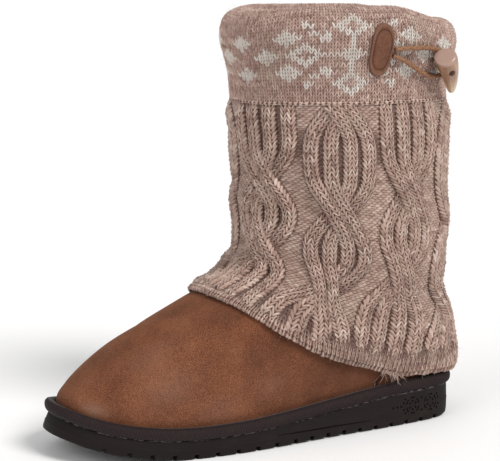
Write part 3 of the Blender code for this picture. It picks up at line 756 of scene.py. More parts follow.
@dataclass(frozen=True)
class Cables:
    """Ribs of two wales each that cross in cables, right pair of every panel behind the left pair."""

    knit: KnitField
    panels: int = 8
    panel_turn: float = 0.36
    ribs: int = 4
    crossings: tuple = (
        # shares down the even panels, then the odd ones
        (0.33, 0.64), (0.01, 0.436, 0.756),
    )
    span: float = 0.135
    reach: float = 0.20
    pinch: float = 0.22
    half_share: float = 0.385
    row_pitch: float = 2.9
    lean: float = 1.35
    leg_height: float = 1.1
    front_lift: float = 1.55
    behind_lift: float = 0.22
    end_gap: float = 4.0
    yarn_seed: int = 21
    samples: int = 400
    levels: int = 120
    courses: int = 60
    section: tuple = (
        # across, of the half width; how deep the side has dropped
        (-1.0, 0.0), (-0.75, 0.0), (-0.5, 0.0), (-0.25, 0.0), (0.0, 0.0), (0.25, 0.0), (0.5, 0.0),
        (0.75, 0.0), (1.0, 0.0), (1.08, 0.6), (0.8, 1.0), (-0.8, 1.0), (-1.08, 0.6),
    )

    def route(self, panel: int, rib: int) -> dict:
        """Middle line of a rib from the cuff to the hem.

        Args:
            panel: the cable panel, from 0.
            rib: the rib's slot at the cuff, 0 at the left.

        Returns:
            Tables over the samples: knit place, share down, lift, and the line's points and frame.
        """
        down = np.linspace(0.0, 1.0, self.samples)
        slot = np.full(self.samples, float(rib))
        squeeze = np.zeros(self.samples)
        under = np.zeros(self.samples)
        lift = np.ones(self.samples)
        for crossing in self.crossings[panel % 2]:
            phase = (down - crossing) / self.span
            swap = ease(0.5 + 0.5 * phase)
            goes_right = slot[-1] < self.ribs / 2
            squeeze = squeeze + bell((down - crossing) / self.reach)
            if goes_right:
                slot = slot + swap * self.ribs / 2
                lift = lift * (1 + (self.front_lift - 1) * bell(phase))
            else:
                slot = slot - swap * self.ribs / 2
                lift = lift * (1 + (self.behind_lift - 1) * bell(phase / 0.85))
                # Painted shade on the rear rib where it passes under the front pair.
                under = under + np.exp(-(phase / 0.42) ** 2)
        squeeze = np.minimum(squeeze, 1.0)
        across = ((slot + 0.5) / self.ribs - 0.5) * (1 - self.pinch * squeeze)
        middle = panel - self.panels / 2
        knit = 0.5 - (middle + across + self.panel_turn) / self.panels
        share = 1 - down
        points = self.knit.spot(knit, share, 0.0)
        normal = self.knit.normal(knit, share)
        cross = unit(np.cross(unit(np.gradient(points, axis=0)), normal))
        step = 0.004
        width = self.knit.spot(knit + step, share, 0.0) - self.knit.spot(knit - step, share, 0.0)
        pitch = np.linalg.norm(width, axis=1) / (2 * step) / (self.panels * self.ribs)
        above = share * self.knit.length(knit)
        half = self.half_share * np.clip(pitch, 10.0, 17.5) * (1 - 0.06 * squeeze ** 2)
        half = half * (1 + 0.20 * ease(1 - above / 45.0) * (1 - 1.2 * self.knit.instep(knit)))
        return {"half": half, "knit": knit, "share": share, "lift": lift, "above": above, "points": points,
                "cross": cross, "normal": normal, "under": under, "pitch": pitch, "run": run_of(points)}

    def sheet(self, panel: int, rib: int) -> Sheet:
        """Grid of one rib: closed across, with the wales' legs as rows that lean."""
        path = self.route(panel, rib)
        length = path["run"][-1] - self.end_gap
        stitches = int(round(length / self.row_pitch))
        rows = stitches * 4
        across, drop = np.array(self.section).T
        count = len(across)
        serial = panel * self.ribs + rib

        def at(run: Array, *keys: str) -> list:
            """Values of the rib's tables at lengths along it."""
            return [np.interp(run, path["run"], path[key]) for key in keys]

        def place(u: Array, v: Array) -> Array:
            """Bend the grid to the rib."""
            i = np.mod(nth(u, count), count)
            row = np.round(v * rows)
            x = across[i]
            away = np.abs(2 * np.where(x < 0, x + 0.5, x - 0.5))
            away = np.where(drop[i] > 0, 1.0, away)
            run = np.clip((row / 4 + self.lean * (0.5 - away)) * self.row_pitch, 0, length)
            wobble = 1 + 0.16 * (scatter(np.floor(row / 4), serial * 2 + (x > 0), 8) - 0.5)
            loose = scatter(np.floor(row / 4), serial * 16 + np.floor(i / 2), 9) - 0.5
            lift, share, above, knit, half = at(run, "lift", "share", "above", "knit", "half")
            front = self.knit.instep(knit)
            low = ease((above - 4.5 + 4.0 * front) / (11.0 - 5.5 * front))
            ends = ease((1 - share) * 10 + 0.22) * (0.12 + 0.88 * low)
            cushion = np.sqrt(np.clip(1 - np.abs(x) ** 2.7, 0, 1)) * 0.86 + 0.12
            leg = hump(row, 4, 0.8)
            taper = np.where(away < 0.1, 0.15, np.where(away > 0.9, 0.45, 1.0))
            height = self.knit.rib_lift * lift * ends * cushion * wobble
            height = height + self.leg_height * (1 + 0.5 * loose) * (leg * taper - 0.35) * (0.3 + 0.7 * low)
            height = height - 1.3 * ease(2 - above / self.end_gap)
            side = np.where(drop[i] >= 1.0, -1.2, 0.0)
            height = np.where(drop[i] > 0, height * (1 - drop[i]) + side, height)
            half = half * (0.94 + 0.06 * wobble)
            middle, cross, normal = (
                np.stack([np.interp(run, path["run"], column) for column in path[key].T], axis=-1)
                for key in ("points", "cross", "normal"))
            return middle + cross * (x * half)[:, None] + normal * height[:, None]

        def marks(u: Array, v: Array) -> dict:
            """Lightness of each leg, and painted shade on the rib's sides and where it passes under the
            front pair.
            """
            i = np.floor(u * count)
            row = np.floor(v * rows / 4)
            run = (row + 0.5) * self.row_pitch
            share, knit, under = at(run, "share", "knit", "under")
            wale = np.floor(knit * self.knit.wales) - np.floor(i / 4)
            leg = scatter(row, serial * 16 + np.floor(i / 2), 22)
            return {"tone": marl((1 - share) * self.courses, wale, self.yarn_seed, leg),
                    "shade": np.where(i >= 8, 0.8, 0.45 * under)}

        return Sheet(count, rows, place, scaled(count / 4, rows / 4, 7 * serial), marks)

    def edges(self, share: Array) -> tuple:
        """Knit places of all ribs at some shares up the sleeve, in rising order, and their half widths.

        Args:
            share: shares up the sleeve.

        Returns:
            Knit places and half widths in the same unit, each with one row per share.
        """
        middles = []
        halves = []
        for panel in range(self.panels):
            for rib in range(self.ribs):
                path = self.route(panel, rib)
                middle, pitch, half = (np.interp(1 - share, 1 - path["share"], path[key])
                                       for key in ("knit", "pitch", "half"))
                middles.append(middle)
                halves.append(half / (pitch * self.panels * self.ribs))
        return np.mod(np.array(middles).T, 1.0), np.array(halves).T

    def hemmed_in(self, knit: Array, share: Array) -> Array:
        """How much the ribs on both sides hem in a place of the ground, from 0 to 1.

        Args:
            knit: places round the sleeve.
            share: shares up the sleeve.

        Returns:
            The depth of shade in the gap.
        """
        middles, halves = self.edges(np.linspace(0, 1, self.levels + 1))
        level = np.clip(nth(share, self.levels), 0, self.levels)
        away = np.mod(middles[level] - np.mod(knit, 1.0)[:, None] + 0.5, 1.0) - 0.5
        after = np.where(away > 0, away - halves[level], 1.0).min(axis=1)
        before = np.where(away <= 0, -away - halves[level], 1.0).min(axis=1)
        after, before = (np.maximum(side, 0) * self.knit.girth for side in (after, before))
        foot = np.exp(-(np.minimum(after, before) / 1.2) ** 2)
        return np.maximum(0.75 * ease((8.0 - after - before) / 4.5), 0.35 * foot)

    def pieces(self) -> list:
        """All ribs as two pieces, those of the outer and those of the inner side."""
        made = []
        for name, panels in (("cables_outer", range(3, 7)), ("cables_inner", (7, 0, 1, 2))):
            sheets = [self.sheet(panel, rib) for panel in panels for rib in range(self.ribs)]
            made.append(skin(name, sheets))
        return made


@dataclass(frozen=True)
class Ground:
    """Purl ground between the ribs: one closed tube whose outer face has the purl bumps."""

    knit: KnitField
    cables: Cables
    lines: int = 108
    bump: float = 1.1
    inside_rows: int = 8

    def piece(self) -> Piece:
        """The tube."""
        wales = self.knit.wales
        columns = wales * 2
        front = self.lines * 2
        rows = front + self.inside_rows

        def place(u: Array, v: Array) -> Array:
            """Outer face from the hem up, then down the inner face."""
            row = np.round(v * rows)
            column = np.mod(np.round(u * columns), columns)
            outside = row <= front
            middle = np.mod(column + np.floor(row / 2), 2) == 1
            swing = np.where(middle, -1, 1) * (np.mod(row, 2) < 1)
            wave = 0.5 * swing * np.where(outside & (row > 1), 1, 0)
            share = np.where(outside, (row + wave) / front, (rows - row) / self.inside_rows)
            share = np.clip(share, 0.0, 1.0)
            jitter = scatter(np.floor(row / 2), np.floor(column / 2), 31) - 0.5
            crest = np.where(middle, 0.50, -0.05)
            lift = self.bump * (np.where(np.mod(row, 2) < 1, -0.5, crest) + 0.3 * jitter)
            lift = np.where(outside, lift, -1.6)
            ends = (row < 1) | (row >= rows)
            share = np.where(ends, 0.0, share)
            lift = np.where(ends, -0.8, lift)
            return self.knit.spot(np.mod(u, 1.0), share, lift)

        def marks(u: Array, v: Array) -> dict:
            """Lightness of each bump, and painted shade where ribs hem it in and at their feet."""
            line = np.floor(v * rows / 2)
            bump = np.floor(u * wales + 0.5 * np.mod(line, 2))
            tone = marl((1 - v) * self.cables.courses, u * wales, self.cables.yarn_seed,
                        scatter(line, bump, 33))
            share = np.minimum(v * rows / front, 1.0)
            return {"tone": 0.8 * tone + 0.07, "shade": self.cables.hemmed_in(u, share)}

        return skin("purl_ground", [Sheet(columns, rows, place, scaled(wales, rows / 2), marks)])


@dataclass(frozen=True)
class Hem:
    """Narrow rib band and rolled edge at the sleeve's hem."""

    knit: KnitField
    cables: Cables
    wales: int = 150
    height: float = 15.0
    rib_height: float = 2.0
    row_pitch: float = 2.7
    edge_rows: int = 5
    edge_height: float = 1.6
    rib: tuple = (
        # height and lean over one rib and its gap
        (0.0, 1.2), (0.62, 1.2), (1.0, 0.6), (0.86, 0.0), (1.0, 0.6), (0.62, 1.2),
    )

    def piece(self) -> Piece:
        """The band."""
        per = len(self.rib)
        columns = self.wales * per
        front = int(round(self.height / self.row_pitch)) * 4
        rows = front + self.edge_rows + 2
        lift_of, lean_of = np.array(self.rib).T

        def place(u: Array, v: Array) -> Array:
            """Band from its top down, round the edge and up inside."""
            row = np.round(v * rows)
            i = np.mod(nth(u, columns), per)
            band = row <= front
            inside = row > front + self.edge_rows
            turn = np.clip((row - front) / self.edge_rows, 0, 1) * math.pi
            length = self.knit.length(u)
            leg = hump(row, 4, 0.8)
            lean = self.row_pitch * (lean_of[i] - 0.42) * ease((front - row) / 4)
            above = self.height * (1 - row / front) + lean * ease(row / 4)
            above = self.edge_height + np.where(band, above, -1.9 * np.sin(turn))
            out = np.where(band, 1.5, 0.35 + 1.15 * np.cos(turn))
            out = np.where(inside, -0.9, out)
            above = np.where(inside, 6.0, above)
            wale = np.floor(np.mod(u, 1.0) * self.wales)
            uneven = scatter(wale, 0, 43) - 0.5
            front_of = self.knit.instep(u)
            bumps = self.rib_height * lift_of[i] * (1 + 0.5 * uneven) * (1 - 0.55 * front_of)
            rib = bumps + 0.6 * leg * (lift_of[i] > 0.5) * band
            rib = np.where(row <= front + 3, rib, 0.4)
            ridge = np.where(band, ease((row + 1.5) / (5 + 3 * uneven)), 1.0)
            above = above - np.where(band, 0.0, (0.5 * bumps + 0.6 * uneven) * np.sin(turn))
            share = np.clip(above / length, 0, 1)
            below = np.minimum(above, 0.0)
            lift = (out + rib * np.where(band, 1.0, 0.5 + 0.5 * np.cos(turn))) * ridge - 1.0 - 0.5 * front_of
            ends = (row < 1) | (row >= rows)
            share = np.where(ends, (self.height + self.edge_height) / length, share)
            lift = np.where(ends, -0.8, lift)
            points = self.knit.spot(np.mod(u, 1.0), share, lift)
            points[:, 2] += np.where(ends, 0.0, below)
            return points

        def marks(u: Array, v: Array) -> dict:
            """Lightness of each leg, and painted shade in the grooves between the narrow ribs and where the
            cable ribs hem the band in.
            """
            row = np.floor(v * rows / 4)
            tone = marl(self.cables.courses + row, u * self.knit.wales, self.cables.yarn_seed,
                        scatter(row, np.floor(u * self.wales * 2), 41))
            above = self.height * np.clip(1 - v * rows / front, 0, 1) + self.edge_height
            gap = self.cables.hemmed_in(u, np.clip(above / self.knit.length(u), 0, 1))
            gap = gap * ease(above / 6 - 1.1 + 0.8 * self.knit.instep(u))
            # Painted shade in the purl groove of each narrow rib.
            shade = np.where(np.abs(np.mod(u * self.wales, 1.0) - 0.5) > 0.34, 0.7, 0.0)
            return {"tone": tone, "shade": np.maximum(shade, gap)}

        return skin("hem_band", [Sheet(columns, rows, place, scaled(self.wales, rows / 4), marks)])


@dataclass(frozen=True)
class CuffForm:
    """Shape of the cuff: its path from the seam over the roll to the inside, dips of its rim, creases."""

    last: Last
    path: tuple = (
        # out, height
        (4.4, 207.4), (4.8, 217.0), (6.8, 232.0), (9.4, 245.0), (9.2, 253.5), (6.6, 260.5), (2.4, 263.9),
        (-2.0, 265.0), (-6.0, 263.0), (-8.2, 258.0), (-8.0, 240.0),
    )
    wall: float = 2.6
    seam: float = 207.0
    rim: float = 265.0
    dips: tuple = (
        # around, reach, depth
        (0.045, 0.20, 8.5),
        (0.50, 0.16, 2.5),
    )
    creases: tuple = (
        # around and height of both ends, half width, depth
        (0.256, 226.0, 0.244, 206.0, 2.6, 2.3),
        (0.216, 226.0, 0.210, 206.0, 3.0, 1.6),
        (0.225, 232.0, 0.150, 236.0, 3.0, 1.3),
        (0.190, 224.0, 0.180, 207.0, 3.4, 1.5),
        (0.290, 256.0, 0.240, 252.0, 4.0, 0.8),
        (0.150, 250.0, 0.190, 262.0, 5.0, 1.3),
        (0.400, 214.0, 0.330, 209.0, 5.0, 0.7),
        (0.700, 230.0, 0.760, 210.0, 6.0, 1.2),
        (0.880, 245.0, 0.830, 222.0, 6.0, 1.0),
        (0.580, 250.0, 0.560, 225.0, 6.0, 0.8),
    )
    mean_turn: float = 410.0
    turn_height: float = 238.0
    turn_lift: float = 8.0

    def sagged(self, around: Array, height: Array) -> Array:
        """Height of a place on the cuff, whose rim dips."""
        share = ease((height - self.seam) / (self.rim - self.seam))
        for centre, reach, depth in self.dips:
            away = np.abs(np.mod(around - centre + 0.5, 1.0) - 0.5)
            height = height - depth * share * ease(1.5 * (1 - away / reach))
        return height

    @cached_property
    def profile(self) -> tuple:
        """The path as a fine curve with its run and its unit normals, in the plane of out and height."""
        curve = spline(self.path, 240)
        return curve, run_of(curve), beside(curve)

    @cached_property
    def turns(self) -> tuple:
        """Shares of the cuff's girth from the heel by the outer side, and their places round the last."""
        around = np.linspace(0, 1, 721)
        length = run_of(self.last.offset(around, self.turn_height, self.turn_lift))
        return length / length[-1], around

    def around_at(self, turn: Array) -> Array:
        """Place round the last at a share of the cuff's girth."""
        return np.interp(np.mod(turn, 1.0), *self.turns)

    def crease(self, around: Array, height: Array) -> Array:
        """Depth of the creases at a place."""
        depth = -sum(fold(around, height, self.mean_turn, line) for line in self.creases)
        swell = 1.6 * (drift(around * 9, height / 26, 51, 9) - 0.5)
        return depth + swell * ease((height - self.seam) / 12)

    def spot(self, around: Array, run: Array, lift: Array, crease: bool = True) -> Array:
        """Point on the cuff.

        Args:
            around: place round the last.
            run: length along the path from the seam.
            lift: distance over the cuff's face.
            crease: whether creases move it.

        Returns:
            The points.
        """
        curve, length, normal = self.profile
        out, height, side, up = (np.interp(run, length, column) for column in (*curve.T, *normal.T))
        if crease:
            lift = lift + self.crease(around, height) * ease((out + 2.0) / 6.0)
        out = out + side * lift
        height = height + up * lift
        return self.last.offset(around, self.sagged(around, height), out)

    def run_at(self, height: Array) -> Array:
        """Length along the path up to a height on its outer wall."""
        curve, length, _ = self.profile
        top = int(np.argmax(curve[:, 1]))
        return np.interp(height, curve[:top, 1], length[:top])


@dataclass(frozen=True)
class CuffChart:
    """Star and diamond repeat of the cuff, charted as one quarter and mirrored both ways."""

    width: int = 40
    middle_height: float = 237.3
    quarter: tuple = (
        # columns 0 to 20 from the star's middle, rows 0 to 11 from the middle up
        "#######...##.#####...",
        "##....##.##...###....",
        "#......###.....#.....",
        "#.......#..#........#",
        "#...##....###......##",
        "#...##...#####....###",
        "##..#.##..###......##",
        ".##........#........#",
        "..##...##............",
        ".##.....#............",
        "##...................",
        "#....................",
    )

    def yarn(self, column: Array, row: Array) -> Array:
        """Which yarn a stitch has.

        Args:
            column: stitches from a star's middle.
            row: stitches above the band's middle.

        Returns:
            1 for ivory and 0 for the ground.
        """
        chart = np.array([[c == "#" for c in line] for line in self.quarter], dtype=float)
        x = np.abs(np.mod(column + self.width / 2, self.width) - self.width / 2).astype(int)
        y = np.abs(row).astype(int)
        inside = (x < chart.shape[1]) & (y < chart.shape[0])
        value = chart[np.minimum(y, chart.shape[0] - 1), np.minimum(x, chart.shape[1] - 1)]
        return np.where(inside, value, 0.0)


@dataclass(frozen=True)
class Cuff:
    """Plain-knit cuff with its two-colour band, rolled over the collar."""

    form: CuffForm
    chart: CuffChart = CuffChart()
    wales: int = 120
    row_pitch: float = 2.17
    lean: float = 1.2
    leg_height: float = 0.95
    star_around: float = 0.311
    inside_rows: int = 6

    def sway(self, turn: Array, share: Array) -> Array:
        """How far the courses rise or sag at a place."""
        sag = -3.6 * np.exp(-((turn - 0.485) / 0.05) ** 2) + 1.3 * np.exp(-((turn - 0.22) / 0.04) ** 2)
        sag = sag + 1.6 * (drift(turn * 11, share * 3, 62, 11) - 0.5)
        return sag * np.sin(np.pi * np.clip(share, 0, 1))

    def piece(self) -> Piece:
        """The cuff as one closed tube."""
        _, length, _ = self.form.profile
        stitches = int(length[-1] / self.row_pitch)
        columns = self.wales * 4
        front = stitches * 3
        rows = front + self.inside_rows
        middle = self.form.run_at(self.chart.middle_height)

        def place(u: Array, v: Array) -> Array:
            """Outer face from the seam over the rim, then back under it."""
            row = np.round(v * rows)
            column = np.mod(np.round(u * columns), columns)
            away = np.abs(np.mod(column, 4) / 2 - 1)
            face = row <= front
            ends = (row < 1) | (row >= rows)
            wave = self.sway(np.mod(u, 1.0), row / front)
            run = (row / 3 + self.lean * (away - 0.5)) * self.row_pitch + wave
            back = length[-1] * (1 - (row - front) / self.inside_rows)
            run = np.clip(np.where(face, run, back), 0, length[-1])
            leg = hump(row, 3, 0.9)
            taper = np.where(away < 0.1, 0.32, np.where(away > 0.9, 0.36, 1.0))
            stitch = np.floor(row / 3), np.floor(column / 4)
            wobble, uneven = (scatter(*stitch, seed) - 0.5 for seed in (61, 64))
            lift = np.where(face, self.leg_height * (leg * taper - 0.5) + 0.24 * wobble, -self.form.wall)
            lift = np.where(ends, -0.9, lift)
            run = np.where(ends, 0.0, run)
            stray = 1.1 * (drift(u * 60, row / 24, 63, 60) - 0.5) + 0.4 * uneven
            turn = u + np.where(ends, 0.0, stray) / self.form.mean_turn
            return self.form.spot(self.form.around_at(turn), run, lift)

        def marks(u: Array, v: Array) -> dict:
            """Yarn and lightness of each stitch, and painted shade on the cuff's inner wall."""
            wale = np.floor(u * self.wales)
            row = np.floor(v * rows / 3)
            turns, places = self.form.turns
            star = np.floor(np.interp(self.star_around, places, turns) * self.wales)
            yarn = self.chart.yarn(wale - star, np.round(row + 0.5 - middle / self.row_pitch))
            tone = marl(row, u * self.wales, 71, scatter(row, np.floor(u * self.wales * 2), 72))
            face = v * rows < front
            return {"tone": 0.95 * tone + 0.02, "ivory": np.where(face, yarn, 0.0),
                    "shade": np.where(face, 0.0, 0.5)}

        return skin("knit_cuff", [Sheet(columns, rows, place, scaled(self.wales, rows / 3), marks)])


@dataclass(frozen=True)
class SeamRidge:
    """Row of purl bumps where the cuff joins the sleeve."""

    form: CuffForm
    bumps: int = 120
    radius: float = 1.15
    run: float = 0.6
    lift: float = -0.5

    def piece(self) -> Piece:
        """Bumpy cord round the leg."""
        columns = self.bumps * 4

        def place(u: Array, v: Array) -> Array:
            """Small tube that swells once per wale."""
            turn = v * 2 * math.pi
            radius = self.radius * (0.62 + 0.42 * hump(nth(u, columns), 4, 0.7))
            wander = 0.35 * (drift(u * 60, 0.0, 91, 60) - 0.5)
            out = radius * np.sin(turn) * 0.9 + self.lift
            points = self.form.spot(self.form.around_at(u), np.full(len(u), self.run), out, crease=False)
            points[:, 2] += radius * np.cos(turn) - 0.9 + wander
            return points

        def marks(u: Array, v: Array) -> dict:
            """Lightness of each bump."""
            return {"tone": 0.2 + 0.6 * scatter(np.floor(u * self.bumps), 0, 92)}

        return skin("seam_ridge", [Sheet(columns, 8, place, scaled(self.bumps, 2.0, low=0.5), marks)])


@dataclass(frozen=True)
class Fuzz:
    """Loose fibres that stand out from the yarn, and the frayed yarn end under the hem."""

    axis: tuple = (0.0, -0.036)
    reach: tuple = (0.0018, 0.0052)
    radius: float = 0.00007
    frayed_at: float = 0.181
    frayed_spread: float = 0.016
    strands: int = 90
    strand_reach: tuple = (0.0010, 0.0028)
    strand_bend: float = 0.0030
    strand_radius: tuple = (0.00014, 0.00034)

    def rods(self, name: str, roots: Array, ways: Array, bends: Array, radius: Array, tone: Array) -> Piece:
        """Thin three-sided rods in three lengths.

        Args:
            name: the piece's name.
            roots: where each rod starts, in metres.
            ways: each rod's direction times its length.
            bends: how far each rod's end is bent aside.
            radius: each rod's radius.
            tone: each rod's lightness.

        Returns:
            The piece.
        """
        bm = bmesh.new()
        bmesh.ops.create_cone(bm, cap_ends=True, segments=3, radius1=1.0, radius2=0.5, depth=1.0)
        upright = [e for e in bm.edges if abs(e.verts[0].co.z - e.verts[1].co.z) > 0.5]
        bmesh.ops.subdivide_edges(bm, edges=upright, cuts=2)
        rod = mesh_of("rod", bm)
        bm = bmesh.new()
        for _ in range(len(roots)):
            bm.from_mesh(rod)
        mesh = mesh_of(name, bm)
        x, y, z = values_of(rod.vertices, "co", 3).T
        side = unit(np.cross(ways, bends + (0.0, 0.0, 1e-5)))
        over = unit(np.cross(side, ways))
        along = (z + 0.5)[None, :, None]
        middle = roots[:, None] + along * ways[:, None] + along ** 2 * bends[:, None]
        wide = radius[:, None, None]
        points = middle + wide * (x[None, :, None] * side[:, None] + y[None, :, None] * over[:, None])
        mesh.vertices.foreach_set("co", points.astype(np.float32).ravel())
        mesh.uv_layers.new(name="UVMap").data.foreach_set("uv", np.tile([0.25, 0.5], len(mesh.loops)))
        lightness = np.repeat(tone, len(rod.polygons)).astype(np.float32)
        mesh.attributes.new("tone", "FLOAT", "FACE").data.foreach_set("value", lightness)
        bpy.data.meshes.remove(rod)
        return placed(name, mesh)

    def piece(self, name: str, sources: Sequence[Piece], count: int, seed: int) -> Piece:
        """Fibres rooted in the outer faces of finished pieces.

        Args:
            name: the piece's name.
            sources: the pieces that the fibres stand on.
            count: how many fibres.
            seed: seed of their places and directions.

        Returns:
            The piece.
        """
        chance = np.random.default_rng(seed)
        centre, normal, area = (
            np.vstack([values_of(source.data.polygons, key, width) for source in sources]).astype(float)
            for key, width in (("center", 3), ("normal", 3), ("area", 1)))
        radial = centre[:, :2] - self.axis
        outer = (radial * normal[:, :2]).sum(axis=1) > 0.4 * np.linalg.norm(radial, axis=1)
        chances = area[:, 0] * outer
        pick = chance.choice(len(centre), count, p=chances / chances.sum())
        root = centre[pick]
        normal = normal[pick]
        sideways = chance.normal(size=(count, 3))
        sideways -= normal * (sideways * normal).sum(axis=1)[:, None]
        ways = unit(unit(sideways) + normal * chance.uniform(0.15, 0.9, (count, 1)))
        reach = chance.uniform(*self.reach, (count, 1))
        bends = reach * (0.35 * chance.normal(size=(count, 3)) - 0.25 * normal)
        radius = self.radius * chance.uniform(0.7, 1.2, count)
        return self.rods(name, root - 0.0001 * normal, ways * reach, bends, radius,
                         chance.uniform(0.5, 1.1, count))

    def frayed_end(self, knit: KnitField) -> Piece:
        """Frayed yarn that hangs from the hem."""
        chance = np.random.default_rng(5)
        place = self.frayed_at + self.frayed_spread * chance.uniform(-1.0, 1.0, self.strands)
        roots = knit.spot(place, np.full(self.strands, 0.004), chance.uniform(0.4, 1.6, self.strands)) * MM
        ways = 0.25 * knit.normal(place, np.zeros(self.strands)) + (0.0, 0.0, -1.0)
        ways = ways + chance.normal(0.0, 0.6, (self.strands, 3))
        ways *= chance.uniform(*self.strand_reach, (self.strands, 1))
        bends = chance.normal(0.0, self.strand_bend, (self.strands, 3))
        radius = chance.uniform(*self.strand_radius, self.strands)
        return self.rods("frayed_yarn", roots, ways, bends, radius, chance.uniform(0.3, 0.9, self.strands))


class Wiring:
    """Node tree under construction, which lays out and links its nodes."""

    def __init__(self, tree: bpy.types.NodeTree) -> None:
        """Start wiring a tree."""
        self.tree = tree
        self.made = 0

    def node(self, kind: str, settings: Optional[dict] = None, **inputs: object) -> bpy.types.Node:
        """Add a node.

        Args:
            kind: the node's type.
            settings: its properties.
            inputs: values or sockets for its inputs, by name with _ for a space, or _0, _1 by place.

        Returns:
            The node.
        """
        made = self.tree.nodes.new(kind)
        made.location = (220 * (self.made % 8), -260 * (self.made // 8))
        self.made += 1
        for key, value in (settings or {}).items():
            setattr(made, key, value)
        self.feed(made, **inputs)
        return made

    def feed(self, node: bpy.types.Node, **inputs: object) -> None:
        """Give a node values or sockets for its inputs, named as in node()."""
        for key, value in inputs.items():
            name = key.replace("_", " ").strip()
            socket = node.inputs[int(name) if name.isdigit() else name]
            if isinstance(value, Socket):
                self.tree.links.new(value, socket)
            else:
                socket.default_value = value

    def group(self, tree: bpy.types.NodeTree, **inputs: object) -> bpy.types.NodeOutputs:
        """Outputs of a shader group with its inputs given."""
        return self.node("ShaderNodeGroup", {"node_tree": tree}, **inputs).outputs

    def maths(self, operation: str, *values: object, clamp: bool = False) -> Socket:
        """Result of a Math node over values or sockets."""
        inputs = {f"_{i}": value for i, value in enumerate(values)}
        made = self.node("ShaderNodeMath", {"operation": operation, "use_clamp": clamp}, **inputs)
        return made.outputs[0]

    def span(self, value: object, low: object, high: object, start: float = 0.0, end: float = 1.0) -> Socket:
        """Smooth step of a value from low to high, given as start to end."""
        made = self.node("ShaderNodeMapRange", {"interpolation_type": "SMOOTHSTEP"}, Value=value,
                         From_Min=low, From_Max=high, To_Min=start, To_Max=end)
        return made.outputs["Result"]

    def mix(self, share: object, first: object, second: object) -> Socket:
        """Mix of two colours."""
        return self.node("ShaderNodeMix", {"data_type": "RGBA"}, _0=share, _6=first, _7=second).outputs[2]

    def noise(self, where: object, scale: float, detail: float = 2.0, roughness: float = 0.5) -> Socket:
        """Value of a Noise Texture."""
        return self.node("ShaderNodeTexNoise", None, Vector=where, Scale=scale, Detail=detail,
                         Roughness=roughness).outputs[0]

    def stretched(self, where: object, x: float, y: float, z: float = 1.0) -> Socket:
        """Coordinates scaled along each axis."""
        return self.node("ShaderNodeMapping", None, Vector=where, Scale=(x, y, z)).outputs[0]

    def axes(self, vector: object) -> bpy.types.NodeOutputs:
        """The three numbers of a vector or colour."""
        return self.node("ShaderNodeSeparateXYZ", None, _0=vector).outputs

    def place(self) -> Socket:
        """Object coordinates, in metres."""
        return self.node("ShaderNodeTexCoord").outputs["Object"]

    def pattern(self) -> Socket:
        """The piece's own UV map."""
        return self.node("ShaderNodeUVMap", {"uv_map": "UVMap"}).outputs[0]

    def mark(self, name: str) -> Socket:
        """A piece's face attribute."""
        return self.node("ShaderNodeAttribute", {"attribute_name": name}).outputs["Fac"]


def linear(red: float, green: float, blue: float) -> tuple:
    """Linear colour of an sRGB colour given from 0 to 255."""
    levels = (((c / 255 + 0.055) / 1.055) ** 2.4 if c > 10 else c / 3295 for c in (red, green, blue))
    return (*levels, 1.0)


def shader_group(name: str, colours: Sequence[str], numbers: dict, outputs: Sequence[str]) -> tuple:
    """Empty node group with named sockets.

    Args:
        name: the group's name.
        colours: names of its colour inputs, grey at first.
        numbers: first values of its other inputs by name.
        outputs: names of its outputs, of which Colour is a colour.

    Returns:
        The group, its wiring, its inputs' sockets and its output node.
    """
    tree = bpy.data.node_groups.new(name, "ShaderNodeTree")
    for key, value in {**dict.fromkeys(colours, (0.5, 0.5, 0.5, 1.0)), **numbers}.items():
        kind = "NodeSocketColor" if key in colours else "NodeSocketFloat"
        tree.interface.new_socket(key, in_out="INPUT", socket_type=kind).default_value = value
    for key in outputs:
        kind = "NodeSocketColor" if key == "Colour" else "NodeSocketFloat"
        tree.interface.new_socket(key, in_out="OUTPUT", socket_type=kind)
    wiring = Wiring(tree)
    return tree, wiring, wiring.node("NodeGroupInput").outputs, wiring.node("NodeGroupOutput")


